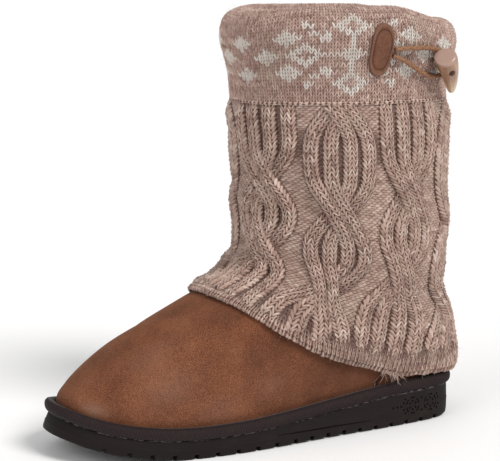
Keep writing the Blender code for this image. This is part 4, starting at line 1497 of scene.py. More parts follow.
class Effects:
    """The shader groups that the finishes share."""

    def __init__(self) -> None:
        """Build each group once."""
        self.yarn = self.yarn_group()
        self.nap = self.nap_group()
        self.dust = self.dust_group()

    def yarn_group(self) -> bpy.types.NodeTree:
        """Marled yarn: each stitch's lightness, its legs and plies, painted light across each leg, and
        painted shade in the gaps and holes between the legs.
        """
        tree, w, given, out = shader_group(
            "yarn", ("Dark", "Light", "Fleck", "Ivory", "Gap"),
            {"Gap from": 0.6, "Hole": 0.6, "Cells": 2.0, "Brick": 0.0, "Sides": 1.0},
            ("Colour", "Roughness", "Height"))
        place = w.place()
        across, along, _ = w.axes(w.pattern())
        for scale, sideways, lengthwise in ((620.0, 0.16, 0.34), (210.0, 0.20, 0.60)):
            stray = w.node("ShaderNodeTexNoise", None, Vector=place, Scale=scale, Detail=1.0)
            strays = w.axes(stray.outputs["Color"])
            across = w.maths("MULTIPLY_ADD", w.maths("SUBTRACT", strays[0], 0.5), sideways, across)
            along = w.maths("MULTIPLY_ADD", w.maths("SUBTRACT", strays[1], 0.5), lengthwise, along)
        shift = w.maths("MULTIPLY", w.maths("FLOORED_MODULO", w.maths("FLOOR", along), 2.0), given["Brick"])
        cell = w.maths("ADD", w.maths("MULTIPLY", across, given["Cells"]), shift)
        off_middle, off_row = (
            w.maths("ABSOLUTE", w.maths("SUBTRACT", w.maths("MULTIPLY", w.maths("FRACT", at), 2.0), 1.0))
            for at in (cell, along))
        sides = w.maths("MULTIPLY", w.maths("POWER", off_middle, 2.6), given["Sides"])
        edge = w.maths("ADD", sides, w.maths("POWER", off_row, 2.2))
        pillow = w.maths("SUBTRACT", 1.0, w.maths("MULTIPLY", edge, 0.5), clamp=True)
        ply = w.node("ShaderNodeCombineXYZ", None, X=w.maths("MULTIPLY", cell, 1.1),
                     Y=w.maths("MULTIPLY", along, 5.5), Z=w.maths("FLOOR", cell))
        streak = w.span(w.noise(ply.outputs[0], 1.0, 3.0, 0.6), 0.30, 0.70)
        fuzz = w.noise(place, 1500.0, 3.0, 0.7)
        shade = w.maths("MULTIPLY", w.mark("tone"), 0.85)
        shade = w.maths("ADD", shade, w.maths("MULTIPLY_ADD", streak, 0.36, 0.1))
        # The pillow term is painted light and shade: each leg lighter in its middle and darker at its edges,
        # as on round yarn.
        for value, middle, weight in ((pillow, 0.6, 0.45), (fuzz, 0.5, 0.35)):
            part = w.maths("MULTIPLY", w.maths("SUBTRACT", value, middle), weight)
            shade = w.maths("ADD", shade, part)
        body = w.mix(w.span(shade, 0.28, 0.86), given["Dark"], given["Light"])
        body = w.mix(w.span(shade, 0.80, 1.25), body, given["Fleck"])
        pale = w.mix(w.span(shade, 0.75, 0.20, 0.0, 0.6), given["Ivory"], given["Light"])
        body = w.mix(w.mark("ivory"), body, pale)
        faded = w.span(w.noise(place, 55.0, 3.0, 0.6), 0.50, 0.66, 0.0, 0.30)
        body = w.mix(faded, body, linear(184, 165, 148))
        # Painted shade: the gaps and holes between the legs, and faces with a shade mark, are mixed towards
        # the Gap colour.
        start = given["Gap from"]
        groove = w.span(edge, start, w.maths("ADD", start, 0.85))
        hole_x, hole_y = (w.maths("DIVIDE", w.maths("SUBTRACT", 1.0, off), given["Hole"])
                          for off in (off_middle, off_row))
        hole = w.span(w.maths("MULTIPLY_ADD", hole_x, hole_x, w.maths("MULTIPLY", hole_y, hole_y)), 1.0, 0.3)
        groove = w.maths("MAXIMUM", w.maths("POWER", groove, 1.5), hole)
        depth = w.maths("ADD", groove, w.mark("shade"), clamp=True)
        depth = w.maths("MULTIPLY", depth, w.span(fuzz, 0.1, 0.6, 0.75, 1.0))
        body = w.mix(w.maths("MULTIPLY", depth, 0.92), body, given["Gap"])
        height = w.maths("ADD", w.maths("MULTIPLY", streak, 0.12), w.maths("MULTIPLY", fuzz, 0.2))
        w.feed(out, Colour=body, Roughness=w.span(fuzz, 0.2, 0.8, 0.82, 0.98),
               Height=w.maths("ADD", height, pillow))
        return tree

    def nap_group(self) -> bpy.types.NodeTree:
        """Short nap: brushed patches, fine mottling and pale tips."""
        tree, w, given, out = shader_group(
            "nap", ("Dark", "Base", "Tip", "Deep", "Scuff"), {"Patch size": 60.0, "Grain size": 900.0},
            ("Colour", "Roughness", "Height"))
        where = w.place()
        patches, grains = (
            w.node("ShaderNodeVectorMath", {"operation": "SCALE"}, _0=where, Scale=given[size]).outputs[0]
            for size in ("Patch size", "Grain size"))
        brushed = w.noise(patches, 1.0, 4.0, 0.6)
        grain = w.noise(grains, 1.0, 3.0, 0.75)
        hairs = w.span(grain, 0.3, 0.7)
        value = w.maths("ADD", w.maths("MULTIPLY", brushed, 0.45), w.maths("MULTIPLY", hairs, 0.55))
        body = w.mix(w.span(value, 0.22, 0.54), given["Dark"], given["Base"])
        body = w.mix(w.span(value, 0.46, 0.80), body, given["Tip"])
        rubbed = w.maths("MULTIPLY", w.mark("pale"), w.span(grain, 0.3, 0.6, 0.4, 1.0))
        body = w.mix(w.mark("shade"), w.mix(rubbed, body, given["Scuff"]), given["Deep"])
        height = w.maths("ADD", w.maths("MULTIPLY", grain, 0.5), w.maths("MULTIPLY", brushed, 0.5))
        w.feed(out, Colour=body, Roughness=w.span(grain, 0.2, 0.8, 0.85, 0.98), Height=height)
        return tree

    def dust_group(self) -> bpy.types.NodeTree:
        """Dust and rubbed spots from wear, strongest in patches."""
        tree, w, given, out = shader_group("dust", ("Colour", "Dust"), {"Amount": 0.3}, ("Colour",))
        where = w.place()
        patch = w.noise(w.stretched(where, 55.0, 55.0, 110.0), 1.0, 5.0, 0.7)
        speck = w.noise(where, 650.0, 2.0, 0.6)
        mask = w.maths("MULTIPLY", w.span(patch, 0.45, 0.75), w.span(speck, 0.35, 0.7))
        mask = w.maths("MULTIPLY", mask, given["Amount"])
        w.feed(out, Colour=w.mix(mask, given["Colour"], given["Dust"]))
        return tree


@dataclass(frozen=True)
class Finish:
    """A material's fixed numbers; each kind of finish adds its own surface."""

    name: str
    roughness: float = 0.85
    specular: float = 0.3
    sheen: float = 0.0
    sheen_roughness: float = 0.5
    sheen_tint: tuple = (1.0, 1.0, 1.0, 1.0)
    coat: float = 0.0
    bump: float = 0.3
    bump_depth: float = 0.0003

    def make(self, effects: Effects) -> bpy.types.Material:
        """The material."""
        made = bpy.data.materials.new(self.name)
        made.use_nodes = True
        w = Wiring(made.node_tree)
        shader = made.node_tree.nodes["Principled BSDF"]
        w.feed(shader, Roughness=self.roughness, Specular_IOR_Level=self.specular, Sheen_Weight=self.sheen,
               Sheen_Roughness=self.sheen_roughness, Sheen_Tint=self.sheen_tint, Coat_Weight=self.coat)
        height, fed = self.surface(w, effects)
        w.feed(shader, **fed)
        bump = w.node("ShaderNodeBump", None, Strength=self.bump, Distance=self.bump_depth, Height=height)
        w.feed(shader, Normal=bump.outputs[0])
        return made

    def surface(self, w: Wiring, effects: Effects) -> tuple:
        """Height for the bumps, and what else feeds the shader's inputs, by name with _ for a space."""
        raise NotImplementedError


@dataclass(frozen=True)
class YarnFinish(Finish):
    """Marled knitting yarn."""

    dark: tuple = linear(132, 104, 93)
    light: tuple = linear(184, 156, 143)
    fleck: tuple = linear(210, 190, 178)
    ivory: tuple = linear(228, 220, 210)
    # Colour of the painted shade in the gaps and holes between the legs.
    gap: tuple = linear(80, 50, 42)
    gap_from: float = 0.75
    hole: float = 0.62
    cells: float = 2.0
    brick: float = 0.0
    sides: float = 1.0

    def surface(self, w: Wiring, effects: Effects) -> tuple:
        """One group."""
        yarn = w.group(effects.yarn, Dark=self.dark, Light=self.light, Fleck=self.fleck, Ivory=self.ivory,
                       Gap=self.gap, Gap_from=self.gap_from, Hole=self.hole, Cells=self.cells,
                       Brick=self.brick, Sides=self.sides)
        return yarn["Height"], {"Base_Color": yarn["Colour"], "Roughness": yarn["Roughness"]}


@dataclass(frozen=True)
class NapFinish(Finish):
    """Suede, fleece and other napped surfaces."""

    dark: tuple = linear(112, 70, 44)
    base: tuple = linear(141, 92, 60)
    tip: tuple = linear(166, 114, 78)
    deep: tuple = linear(62, 36, 26)
    scuff: tuple = linear(140, 110, 94)
    patch_size: float = 60.0
    grain_size: float = 900.0
    dust: tuple = linear(190, 176, 160)
    dusty: float = 0.0

    def surface(self, w: Wiring, effects: Effects) -> tuple:
        """Nap under dust."""
        nap = w.group(effects.nap, Dark=self.dark, Base=self.base, Tip=self.tip, Deep=self.deep,
                      Scuff=self.scuff, Patch_size=self.patch_size, Grain_size=self.grain_size)
        dust = w.group(effects.dust, Colour=nap["Colour"], Dust=self.dust, Amount=self.dusty)
        return nap["Height"], {"Base_Color": dust[0], "Roughness": nap["Roughness"]}


@dataclass(frozen=True)
class RubberFinish(Finish):
    """Moulded dark rubber with a pale rubbed line and dust."""

    base: tuple = linear(19, 13, 13)
    light: tuple = linear(27, 19, 18)
    worn: tuple = linear(70, 54, 51)
    rim: tuple = linear(150, 142, 138)
    dusty: float = 0.25
    uneven: float = 0.08

    def surface(self, w: Wiring, effects: Effects) -> tuple:
        """Clouded rubber with a broken pale line at its top edge."""
        where = w.place()
        grain = w.noise(where, 900.0, 3.0, 0.6)
        cloud = w.noise(where, 40.0, 3.0, 0.6)
        body = w.mix(w.span(cloud, 0.3, 0.7), self.base, self.light)
        broken = w.noise(w.stretched(where, 260.0, 260.0, 1400.0), 1.0, 3.0, 0.7)
        line = w.maths("MULTIPLY", w.span(w.axes(w.pattern())[1], 0.93, 0.975), w.span(broken, 0.46, 0.62))
        body = w.mix(w.maths("MULTIPLY", line, 0.8), body, self.rim)
        dust = w.group(effects.dust, Colour=body, Dust=self.worn, Amount=self.dusty)
        rough = w.span(cloud, 0.3, 0.7, self.roughness - self.uneven, self.roughness + self.uneven)
        return grain, {"Base_Color": dust[0], "Roughness": rough}


@dataclass(frozen=True)
class TapeFinish(Finish):
    """Ribbed binding tape of aubergine brown."""

    base: tuple = linear(19, 8, 10)
    light: tuple = linear(46, 24, 25)
    worn: tuple = linear(104, 80, 76)
    dusty: float = 0.09

    def surface(self, w: Wiring, effects: Effects) -> tuple:
        """Threads along the tape, under dust."""
        thread = w.noise(w.stretched(w.pattern(), 1.0, 14.0), 3.0, 3.0, 0.6)
        body = w.mix(w.span(thread, 0.35, 0.75), self.base, self.light)
        dust = w.group(effects.dust, Colour=body, Dust=self.worn, Amount=self.dusty)
        return thread, {"Base_Color": dust[0]}


@dataclass(frozen=True)
class BraidFinish(Finish):
    """Braided elastic cord of two browns."""

    base: tuple = linear(112, 76, 54)
    light: tuple = linear(146, 106, 78)

    def surface(self, w: Wiring, effects: Effects) -> tuple:
        """Two sets of strands that cross."""
        share = w.axes(w.pattern())
        along = w.maths("MULTIPLY", share[1], 2 * math.pi)
        around = w.maths("MULTIPLY", w.maths("MULTIPLY", share[0], 2 * math.pi), 3.0)
        weave = w.maths("MAXIMUM", w.maths("SINE", w.maths("ADD", around, along)),
                        w.maths("SINE", w.maths("SUBTRACT", around, along)))
        fleck = w.maths("SUBTRACT", w.noise(w.place(), 900.0), 0.5)
        value = w.maths("ADD", w.maths("MULTIPLY", weave, 0.2), fleck)
        return weave, {"Base_Color": w.mix(w.span(value, -0.3, 0.4), self.base, self.light)}


@dataclass(frozen=True)
class HornFinish(Finish):
    """Polished horn: a pale cap, lengthwise streaks and a warm pale tip, which is a painted highlight."""

    cap: tuple = linear(196, 150, 122)
    body: tuple = linear(150, 108, 86)
    tip: tuple = linear(196, 160, 132)
    streak: tuple = linear(112, 74, 54)

    def surface(self, w: Wiring, effects: Effects) -> tuple:
        """Colours along the toggle, with fibres."""
        along = w.axes(w.pattern())[1]
        fibre = w.noise(w.stretched(w.pattern(), 9.0, 1.2), 1.6, 4.0, 0.6)
        # Paler towards the tip: a painted highlight on the toggle's far end.
        body = w.mix(w.span(along, 0.35, 0.95), self.body, self.tip)
        body = w.mix(w.span(fibre, 0.35, 0.75, 0.7, 0.0), body, self.streak)
        return fibre, {"Base_Color": w.mix(w.span(along, 0.09, 0.03), body, self.cap)}


@dataclass(frozen=True)
class Sole:
    """Rubber outsole, the tape round its joint with the upper, and the fleece footbed."""

    last: Last
    side: tuple = (
        # share of the height, out
        (0.0, -2.6), (0.02, -1.4), (0.07, -0.4), (0.20, 0.0), (0.46, 0.1), (0.50, 0.25), (0.53, 0.0),
        (0.80, -0.1), (0.92, -0.2), (0.98, -0.6), (1.0, -1.3),
    )
    stations: int = 160
    across: int = 12
    slot_width: float = 2.8
    slot_depth: float = 3.0
    slots: tuple = ((29.2, 12.3, 11), (-107.5, 13.6, 9))
    slot_lean: float = 4.0
    rosettes: tuple = (-2.9, 12.1)
    rosette_height: float = 12.1
    rosette_dots: float = 2.7
    rosette_bars: float = 5.0
    bar_size: tuple = (3.6, 0.9)
    dots_ahead: tuple = (16.0, 12.7, 9.5)
    dots_between: float = 4.0
    dots_beside: tuple = ((7.3, 2.2), (6.0, 4.5))
    pit_size: float = 1.3
    pit_depth: float = 0.8
    mould_line: tuple = ((-107.0, 7.9), (-37.0, 7.0))
    mould_steps: int = 9
    tape: tuple = (
        # out, height over the sole
        (-3.7, 0.3), (-1.0, 0.2), (0.9, 0.3), (1.6, 1.2), (1.95, 2.4), (2.0, 4.0), (1.6, 5.6), (0.6, 6.8),
        (-1.0, 7.4), (-3.6, 7.0),
    )
    footbed_edge: tuple = (
        # out, height over the sole
        (-7.8, 0.1), (-7.6, 1.5), (-7.8, 3.0), (-8.4, 3.7), (-9.6, 4.0),
    )
    tape_ribs: int = 372
    rib_height: float = 0.40
    rib_slant: float = 0.42

    def ring(self, out: float, share: float) -> Array:
        """Ring round the sole at a share of its height."""
        plan = self.last.outline_ring(out, share, self.stations)
        tread = self.last.tread(plan[:, 1])
        top = self.last.top(plan[:, 1])
        return np.column_stack([plan, tread + share * (top - tread)])

    def cap(self, ring: Array) -> Sheet:
        """Grid of strips across a ring."""
        outer = ring[:self.stations + 1]
        inner = np.vstack([ring[:1], ring[self.stations:][::-1]])

        def place(u: Array, v: Array) -> Array:
            """Across the foot at each station."""
            i = nth(v, self.stations)
            return outer[i] * (1 - u)[:, None] + inner[i] * u[:, None]

        return Sheet(self.across, self.stations, place, scaled(1.0, 0.0))

    def stack(self, name: str, rings: Array, pattern: Optional[Callable] = None) -> Piece:
        """Closed body through rings round the foot, from the lowest up."""
        count = 2 * self.stations

        def place(u: Array, v: Array) -> Array:
            """Wall through the rings."""
            return rings[nth(v, len(rings) - 1), np.mod(nth(u, count), count)]

        side = Sheet(count, len(rings) - 1, place, pattern)
        return skin(name, [side, self.cap(rings[0]), self.cap(rings[-1])])

    def rubber(self) -> Piece:
        """The outsole with the slots between its lugs."""
        share = np.array(self.side)[:, 0]

        def pattern(u: Array, v: Array) -> tuple:
            """Share round and share of the height."""
            return u, share[nth(v, len(share) - 1)]

        body = self.stack("rubber_sole", np.array([self.ring(out, up) for up, out in self.side]), pattern)
        return carve(body, self.cutter(), 32, overlaps=True)

    def footbed(self) -> Piece:
        """Fleece insole."""
        rings = []
        for out, above in self.footbed_edge:
            plan = self.last.outline_ring(out, 1.0, self.stations)
            rings.append(np.column_stack([plan, self.last.top(plan[:, 1]) + above]))
        return self.stack("fleece_footbed", np.array(rings))

    def pits(self) -> list:
        """The heel's ornament, of two hexagons of bars round six dots, and the line below the arch.

        Returns:
            Place along the foot, height, turn in degrees, length and width of each pit.
        """
        first, second = self.rosettes
        dots = [(first - away, 0.2) for away in self.dots_ahead]
        dots += [((first + second) / 2, side * self.dots_between) for side in (-1, 1)]
        for away, up in self.dots_beside:
            for side in (-1, 1):
                dots += [(first - away, side * up), (second + away, side * up)]
        marks = []
        for centre in self.rosettes:
            for turn in range(30, 390, 60):
                along = math.cos(math.radians(turn))
                up = math.sin(math.radians(turn))
                dots.append((centre + self.rosette_dots * along, self.rosette_dots * up))
                marks.append((centre + self.rosette_bars * along,
                              self.rosette_height + self.rosette_bars * up, turn + 90, *self.bar_size))
        (front, high), (back, low) = self.mould_line
        step = (back - front) / self.mould_steps
        for share in (np.arange(self.mould_steps) + 0.5) / self.mould_steps:
            marks.append((front + share * (back - front), high + share * (low - high), 0,
                          step + 0.3, 0.3 + 0.6 * math.sin(math.pi * share)))
        return marks + [(along, self.rosette_height + up, 45, self.pit_size, self.pit_size)
                        for along, up in dots]

    def cutter(self) -> Piece:
        """Slanted bars that cut the slots, and small blocks that cut the heel's pits."""
        bm = bmesh.new()
        for first, pitch, count in self.slots:
            for k in range(count):
                y = first - pitch * k
                bar = bmesh.ops.create_cube(bm, size=1.0)["verts"]
                bmesh.ops.scale(bm, vec=(170, self.slot_width, 2 * self.slot_depth), verts=bar)
                bmesh.ops.rotate(bm, matrix=Matrix.Rotation(math.radians(self.slot_lean), 3, "X"), verts=bar)
                bmesh.ops.translate(bm, vec=(0, y, float(self.last.tread(y))), verts=bar)
        wall = self.ring(0.0, 0.5)
        for side in (-1, 1):
            half = wall[side * wall[:, 0] > 0]
            half = half[np.argsort(half[:, 1])]
            for y, z, turn, long, wide in self.pits():
                x, beyond = np.interp((y, y + 1), half[:, 1], half[:, 0])
                along = side * Vector((beyond - x, 1.0, 0.0)).normalized()
                up = Vector((0.0, 0.0, 1.0))
                facing = Matrix((along, up, along.cross(up))).transposed()
                block = bmesh.ops.create_cube(bm, size=1.0)["verts"]
                bmesh.ops.scale(bm, vec=(long, wide, 2 * self.pit_depth), verts=block)
                bmesh.ops.rotate(bm, matrix=facing @ Matrix.Rotation(math.radians(turn), 3, "Z"),
                                 verts=block)
                bmesh.ops.translate(bm, vec=(x, y, z), verts=block)
        return from_bmesh("cutter", bm)

    def binding(self) -> Piece:
        """Ribbed tape."""
        columns = self.tape_ribs * 4
        rows = len(self.tape)
        loop = np.array(self.tape + self.tape[:1])
        run = run_of(loop)

        def place(u: Array, v: Array) -> Array:
            """Slanted ribs round the joint."""
            j = nth(v, rows)
            out, above = loop[j].T
            shown = ease(out + 0.5)
            rib = self.rib_height * np.cos(nth(u, columns) * math.pi / 2) * shown
            slant = -self.rib_slant * run[j] / self.last.rim_tables[3]
            return self.last.rim(u + slant * shown, out + rib, above)

        return skin("sole_binding", [Sheet(columns, rows, place, scaled(self.tape_ribs, 1.0))])


@dataclass(frozen=True)
class Upper:
    """Suede shell of the foot and leg, and its fleece lining."""

    last: Last
    shell: float = 1.4
    wall: float = 4.6
    collar: float = 252.0
    start: float = 22.4
    girth: float = 640.0
    columns: int = 320
    rubs: tuple = (
        # around, height, half width, half height, amount
        (0.455, 33.0, 9.0, 4.0, 0.55),
        (0.39, 47.0, 16.0, 9.0, 0.25),
        (0.33, 36.0, 14.0, 6.0, 0.20),
        (0.28, 44.0, 10.0, 5.0, 0.20),
        (0.43, 62.0, 14.0, 8.0, 0.18),
    )
    counter: float = 0.139
    counter_height: float = 78.0
    counter_step: float = 0.8
    folds: tuple = (
        # around and height of both ends, half width, depth
        (0.40, 60.0, 0.47, 74.0, 3.5, 0.5),
        (0.60, 60.0, 0.54, 74.0, 3.5, 0.5),
        (0.30, 44.0, 0.36, 52.0, 5.0, 0.4),
        (0.22, 40.0, 0.27, 34.0, 5.0, 0.4),
        (0.465, 50.0, 0.50, 56.0, 4.0, 0.35),
        (0.36, 34.0, 0.41, 40.0, 4.0, 0.3),
    )

    def behind(self, around: Array) -> tuple:
        """Distance behind the counter's seam on both sides."""
        return (self.counter - around) * self.girth, (around - (1 - self.counter)) * self.girth

    def relief(self, around: Array, height: Array) -> Array:
        """Soft folds, the counter's step and the seam in front of it."""
        depth = -sum(fold(around, height, self.girth, line) for line in self.folds)
        depth = depth + 0.5 * (drift(around * 34, height / 12, 81, 34) - 0.5)
        for side in self.behind(around):
            back = ease(side / 1.2 + 0.5) * ease((self.counter_height - height) / 3)
            depth = depth + self.counter_step * 0.5 * back - 1.1 * np.exp(-(side / 1.3) ** 2)
        return depth

    def around_at(self, u: Array) -> Array:
        """Place round the last of a column; the columns are closer together at the counter's seams."""
        at = np.linspace(0, 1, 2001)
        crowd = 1 + sum(5 * np.exp(-((at - edge) / 0.009) ** 2) for edge in (self.counter, 1 - self.counter))
        run = np.r_[0, np.cumsum(0.5 * (crowd[1:] + crowd[:-1]))]
        return np.interp(u, run / run[-1], at)

    def wear(self, around: Array, height: Array) -> dict:
        """Darker towards the heel and the sole, the seam's dark line and rubbed places."""
        y = self.last.point(around, height)[:, 1]
        # Darker towards the heel and near the sole, with soft random variation, plus the seam's dark line.
        darkening = 0.42 * ease((y + 150) / 120) + 0.22 * ease((31 - height) / 8)
        darkening = darkening + 0.30 * (drift(around * 26, height / 16, 83, 26) - 0.5)
        rubbed = 0.0
        for a, h, wide, tall, much in self.rubs:
            away = ((around - a) * self.girth / wide) ** 2 + ((height - h) / tall) ** 2
            rubbed = rubbed + much * np.exp(-away)
        for side in self.behind(around):
            darkening = darkening + 0.95 * np.exp(-(side / 1.3) ** 2)
            rubbed = rubbed + 0.25 * np.exp(-((side - 2.4) / 0.8) ** 2)
        return {"shade": np.clip(darkening, 0, 0.95), "pale": np.clip(rubbed, 0, 0.9)}

    def suede(self) -> Piece:
        """Suede shell from the sole to the collar."""
        heights = np.r_[np.linspace(self.start, 96, 76), np.linspace(104, self.collar - 1.5, 14)]
        outside = [(h, 0.0) for h in heights]
        lip = [(self.collar - 0.4, -0.4), (self.collar, -0.8), (self.collar - 0.4, -self.shell)]
        inside = [(h, -self.shell) for h in (*heights[::-3], self.start)]
        path = np.array(outside + lip + inside + outside[:1])
        faced = np.arange(len(path)) % (len(path) - 1) < len(outside)

        def relief(around: Array, i: Array) -> Array:
            """Relief of the outer face."""
            return faced[i] * self.relief(around, path[i, 0])

        return self.tube("suede_upper", path, relief, self.wear)

    def lining(self) -> Piece:
        """Fleece lining."""
        heights = np.linspace(self.start, self.collar - 2, 60)
        outside = [(h, -self.shell - 0.05) for h in heights[::4]]
        lip = [(self.collar - 0.6, -2.2), (self.collar + 0.6, -3.2), (self.collar - 0.2, -4.4)]
        inside = [(h, -self.wall - 0.4) for h in heights[::-1]]
        path = np.array(outside + lip + inside + outside[:1])
        faced = np.r_[np.zeros(len(outside)), np.full(len(lip), 0.5), np.ones(len(inside)), np.zeros(1)]

        def lump(around: Array, i: Array) -> Array:
            """Depth of the fleece's tufts at one row of the path."""
            return faced[i] * 1.6 * (drift(around * 110, path[i, 0] / 3.6, 82, 110) - 0.5)

        return self.tube("fleece_lining", path, lump)

    def tube(self, name: str, path: Array, relief: Callable, wear: Optional[Callable] = None) -> Piece:
        """Closed tube round the last.

        Args:
            name: the piece's name.
            path: height and out of each row, the last row the same as the first.
            relief: extra distance out for places round the last and row numbers.
            wear: attributes for places round the last and heights.

        Returns:
            The piece.
        """
        rows = len(path) - 1

        def place(u: Array, v: Array) -> Array:
            """Rows up, over the collar and down again."""
            i = nth(v, rows)
            around = np.mod(self.around_at(u), 1.0)
            return self.last.offset(around, path[i, 0], path[i, 1] + relief(around, i))

        def paint(u: Array, v: Array) -> dict:
            """Darkening, the seam's dark line and rubbed places."""
            return wear(self.around_at(u), path[nth(v, rows), 0])

        return skin(name, [Sheet(self.columns, rows, place, paint=paint if wear else None)])


@dataclass(frozen=True)
class Closure:
    """Suede patch, braided loop, horn toggle and its tie."""

    form: CuffForm
    patch_place: tuple = (0.268, 239.1)
    patch_size: tuple = (14.8, 31.8)
    patch_tilt: float = 5.5
    patch_fullness: float = 2.5
    patch_rings: tuple = (
        # share of its size, lift
        (0.55, 0.1), (0.97, 0.1), (1.0, 0.5), (1.0, 1.5), (0.985, 2.1), (0.95, 2.5), (0.90, 2.55),
        (0.83, 2.4), (0.79, 2.2), (0.755, 1.8), (0.72, 2.2), (0.67, 2.55), (0.45, 2.7), (0.2, 2.7),
    )
    patch_columns: int = 176
    loop_route: tuple = (
        (0.2462, 239.4), (0.230, 239.9), (0.210, 240.8), (0.187, 241.9), (0.162, 241.9),
        (0.136, 239.0), (0.120, 233.6), (0.129, 227.0), (0.148, 223.2), (0.168, 223.0),
        (0.187, 225.2), (0.208, 229.0), (0.229, 232.8), (0.2475, 235.4),
    )
    loop_lift: float = 1.7
    loop_diameter: float = 2.8
    leg_middle: tuple = (0.0, -36.0, 0.0)
    weave: float = 0.9
    toggle_cap: tuple = (65.4, -1.0, 234.4)
    toggle_tip: tuple = (47.9, 16.3, 211.3)
    toggle_bend: float = 1.6
    toggle_profile: tuple = (
        (0.0, 0.0), (0.0, 3.4), (0.0, 6.0), (0.008, 6.55), (0.03, 6.85), (0.08, 6.95), (0.14, 6.9),
        (0.24, 6.6), (0.36, 6.1), (0.48, 5.5), (0.6, 4.8), (0.7, 4.2), (0.8, 3.5), (0.88, 2.85),
        (0.93, 2.35), (0.97, 1.75), (0.99, 1.2), (1.0, 0.5), (1.0, 0.0),
    )
    hole_share: float = 0.27
    hole_radius: float = 2.0
    hole_turn: float = 40.0
    tie_place: tuple = (0.150, 228.0)

    def on_cuff(self, around: Array, height: Array, lift: Array) -> Array:
        """Points over the cuff's plain outer wall."""
        rising = [(row[1], row[0]) for row in self.form.path[:6]]
        out = monotone(rising, 1, height) + lift
        return self.form.last.offset(around, self.form.sagged(around, height), out)

    def patch(self) -> Piece:
        """Oval suede patch with a stitched groove near its edge."""
        tilt = math.radians(self.patch_tilt)
        around, height = self.patch_place
        sides = self.on_cuff(np.array([around - 0.01, around + 0.01]), np.full(2, height), 0.0)
        turn_length = np.linalg.norm(sides[1] - sides[0]) / 0.02
        rings = np.array(self.patch_rings)

        def place(u: Array, v: Array) -> Array:
            """Ovals from the middle of the back over the edge to the middle of the face."""
            i = nth(v, len(rings) - 1)
            turn = np.mod(u, 1.0) * 2 * math.pi
            x, y = (0.5 * rings[i, 0] * size * squared(wave, self.patch_fullness)
                    for size, wave in zip(self.patch_size, (np.cos(turn), np.sin(turn))))
            across = x * math.cos(tilt) + y * math.sin(tilt)
            up = y * math.cos(tilt) - x * math.sin(tilt)
            return self.on_cuff(around - across / turn_length, height + up, rings[i, 1])

        def paint(u: Array, v: Array) -> dict:
            """Dark stitches in the groove and a paler rim."""
            i = nth(v, len(rings) - 1)
            groove = np.exp(-((rings[i, 0] - 0.755) / 0.03) ** 2) * (i > 5)
            stitch = np.where(np.mod(nth(u, self.patch_columns), 4) < 1, 0.05, 0.95)
            rim = ease((rings[i, 0] - 0.80) / 0.1) * (i > 3)
            return {"shade": groove * stitch, "pale": 0.3 * rim}

        return skin("suede_patch", [Sheet(self.patch_columns, len(rings) - 1, place, paint=paint)])

    def cord(self, name: str, path: Array, up: Array, radius: Callable[[Array, Array], Array],
             pattern: Optional[Callable] = None) -> Piece:
        """Round cord along a path.

        Args:
            name: the piece's name.
            path: its middle line.
            up: a direction beside the path, or one for each of its points.
            radius: gives the radius at angles round it and numbers of the path's points.
            pattern: its UV map.

        Returns:
            The piece.
        """
        tangent = unit(np.gradient(path, axis=0))
        side = unit(np.cross(tangent, up))
        over = np.cross(side, tangent)
        rows = len(path) - 1

        def place(u: Array, v: Array) -> Array:
            """Circle at each point of the path."""
            i = nth(v, rows)
            turn = u * 2 * math.pi
            reach = radius(turn, i)
            across = (np.cos(turn) * reach)[:, None] * side[i]
            return path[i] + across + (np.sin(turn) * reach)[:, None] * over[i]

        return skin(name, [Sheet(12, rows, place, pattern)])

    def loop(self) -> Piece:
        """Braided cord that comes out of the patch and lies round the toggle's tie."""
        path = spline(self.on_cuff(*np.array(self.loop_route).T, self.loop_lift), 160)
        outwards = (path - self.leg_middle) * (1, 1, 0)

        def radius(turn: Array, i: Array) -> Array:
            """Strands stand out a little."""
            weave = np.maximum(np.sin(3 * turn + i * self.weave), np.sin(3 * turn - i * self.weave))
            return 0.5 * self.loop_diameter * (0.99 + 0.02 * weave)

        twists = (len(path) - 1) * self.weave / (2 * math.pi)
        return self.cord("cord_loop", path, outwards, radius, scaled(1.0, twists))

    def toggle_line(self) -> tuple:
        """The tie's root on the cuff, the hole's middle and its direction away from the cuff."""
        root = Vector(self.on_cuff(*np.array([self.tie_place]).T, 0.0)[0])
        middle = Vector(self.toggle_cap).lerp(Vector(self.toggle_tip), self.hole_share)
        return root, middle, (middle - root).normalized()

    def hole_direction(self) -> Vector:
        """Direction of the toggle's hole, square to its axis and turned towards the front."""
        _, _, outwards = self.toggle_line()
        axis = (Vector(self.toggle_tip) - Vector(self.toggle_cap)).normalized()
        turned = Matrix.Rotation(math.radians(self.hole_turn), 3, axis) @ outwards
        return (turned - axis * turned.dot(axis)).normalized()

    def toggle(self) -> Piece:
        """Horn toggle with its hole."""
        _, middle, outwards = self.toggle_line()
        axis = Vector(self.toggle_tip) - Vector(self.toggle_cap)
        turned = np.array(axis.to_track_quat("Z", "Y").to_matrix())
        profile = np.array(self.toggle_profile)
        rows = len(profile) - 1

        def place(u: Array, v: Array) -> Array:
            """Turned body, bent away from the cuff."""
            turn = u * 2 * math.pi
            share, radius = profile[nth(v, rows)].T
            radius = radius * (1 + 0.02 * np.sin(3 * turn + 4 * share))
            ring = np.stack([radius * np.cos(turn), radius * np.sin(turn), np.zeros(len(u))], axis=-1)
            centre = np.array(self.toggle_cap) + share[:, None] * np.array(axis)
            centre = centre + (4 * share * (1 - share) * self.toggle_bend)[:, None] * np.array(outwards)
            return centre + ring @ turned.T

        def pattern(u: Array, v: Array) -> tuple:
            """Share round and share along."""
            i = nth(v, rows)
            return u, profile[i, 0] + np.where(i < 3, -0.02, 0.0)

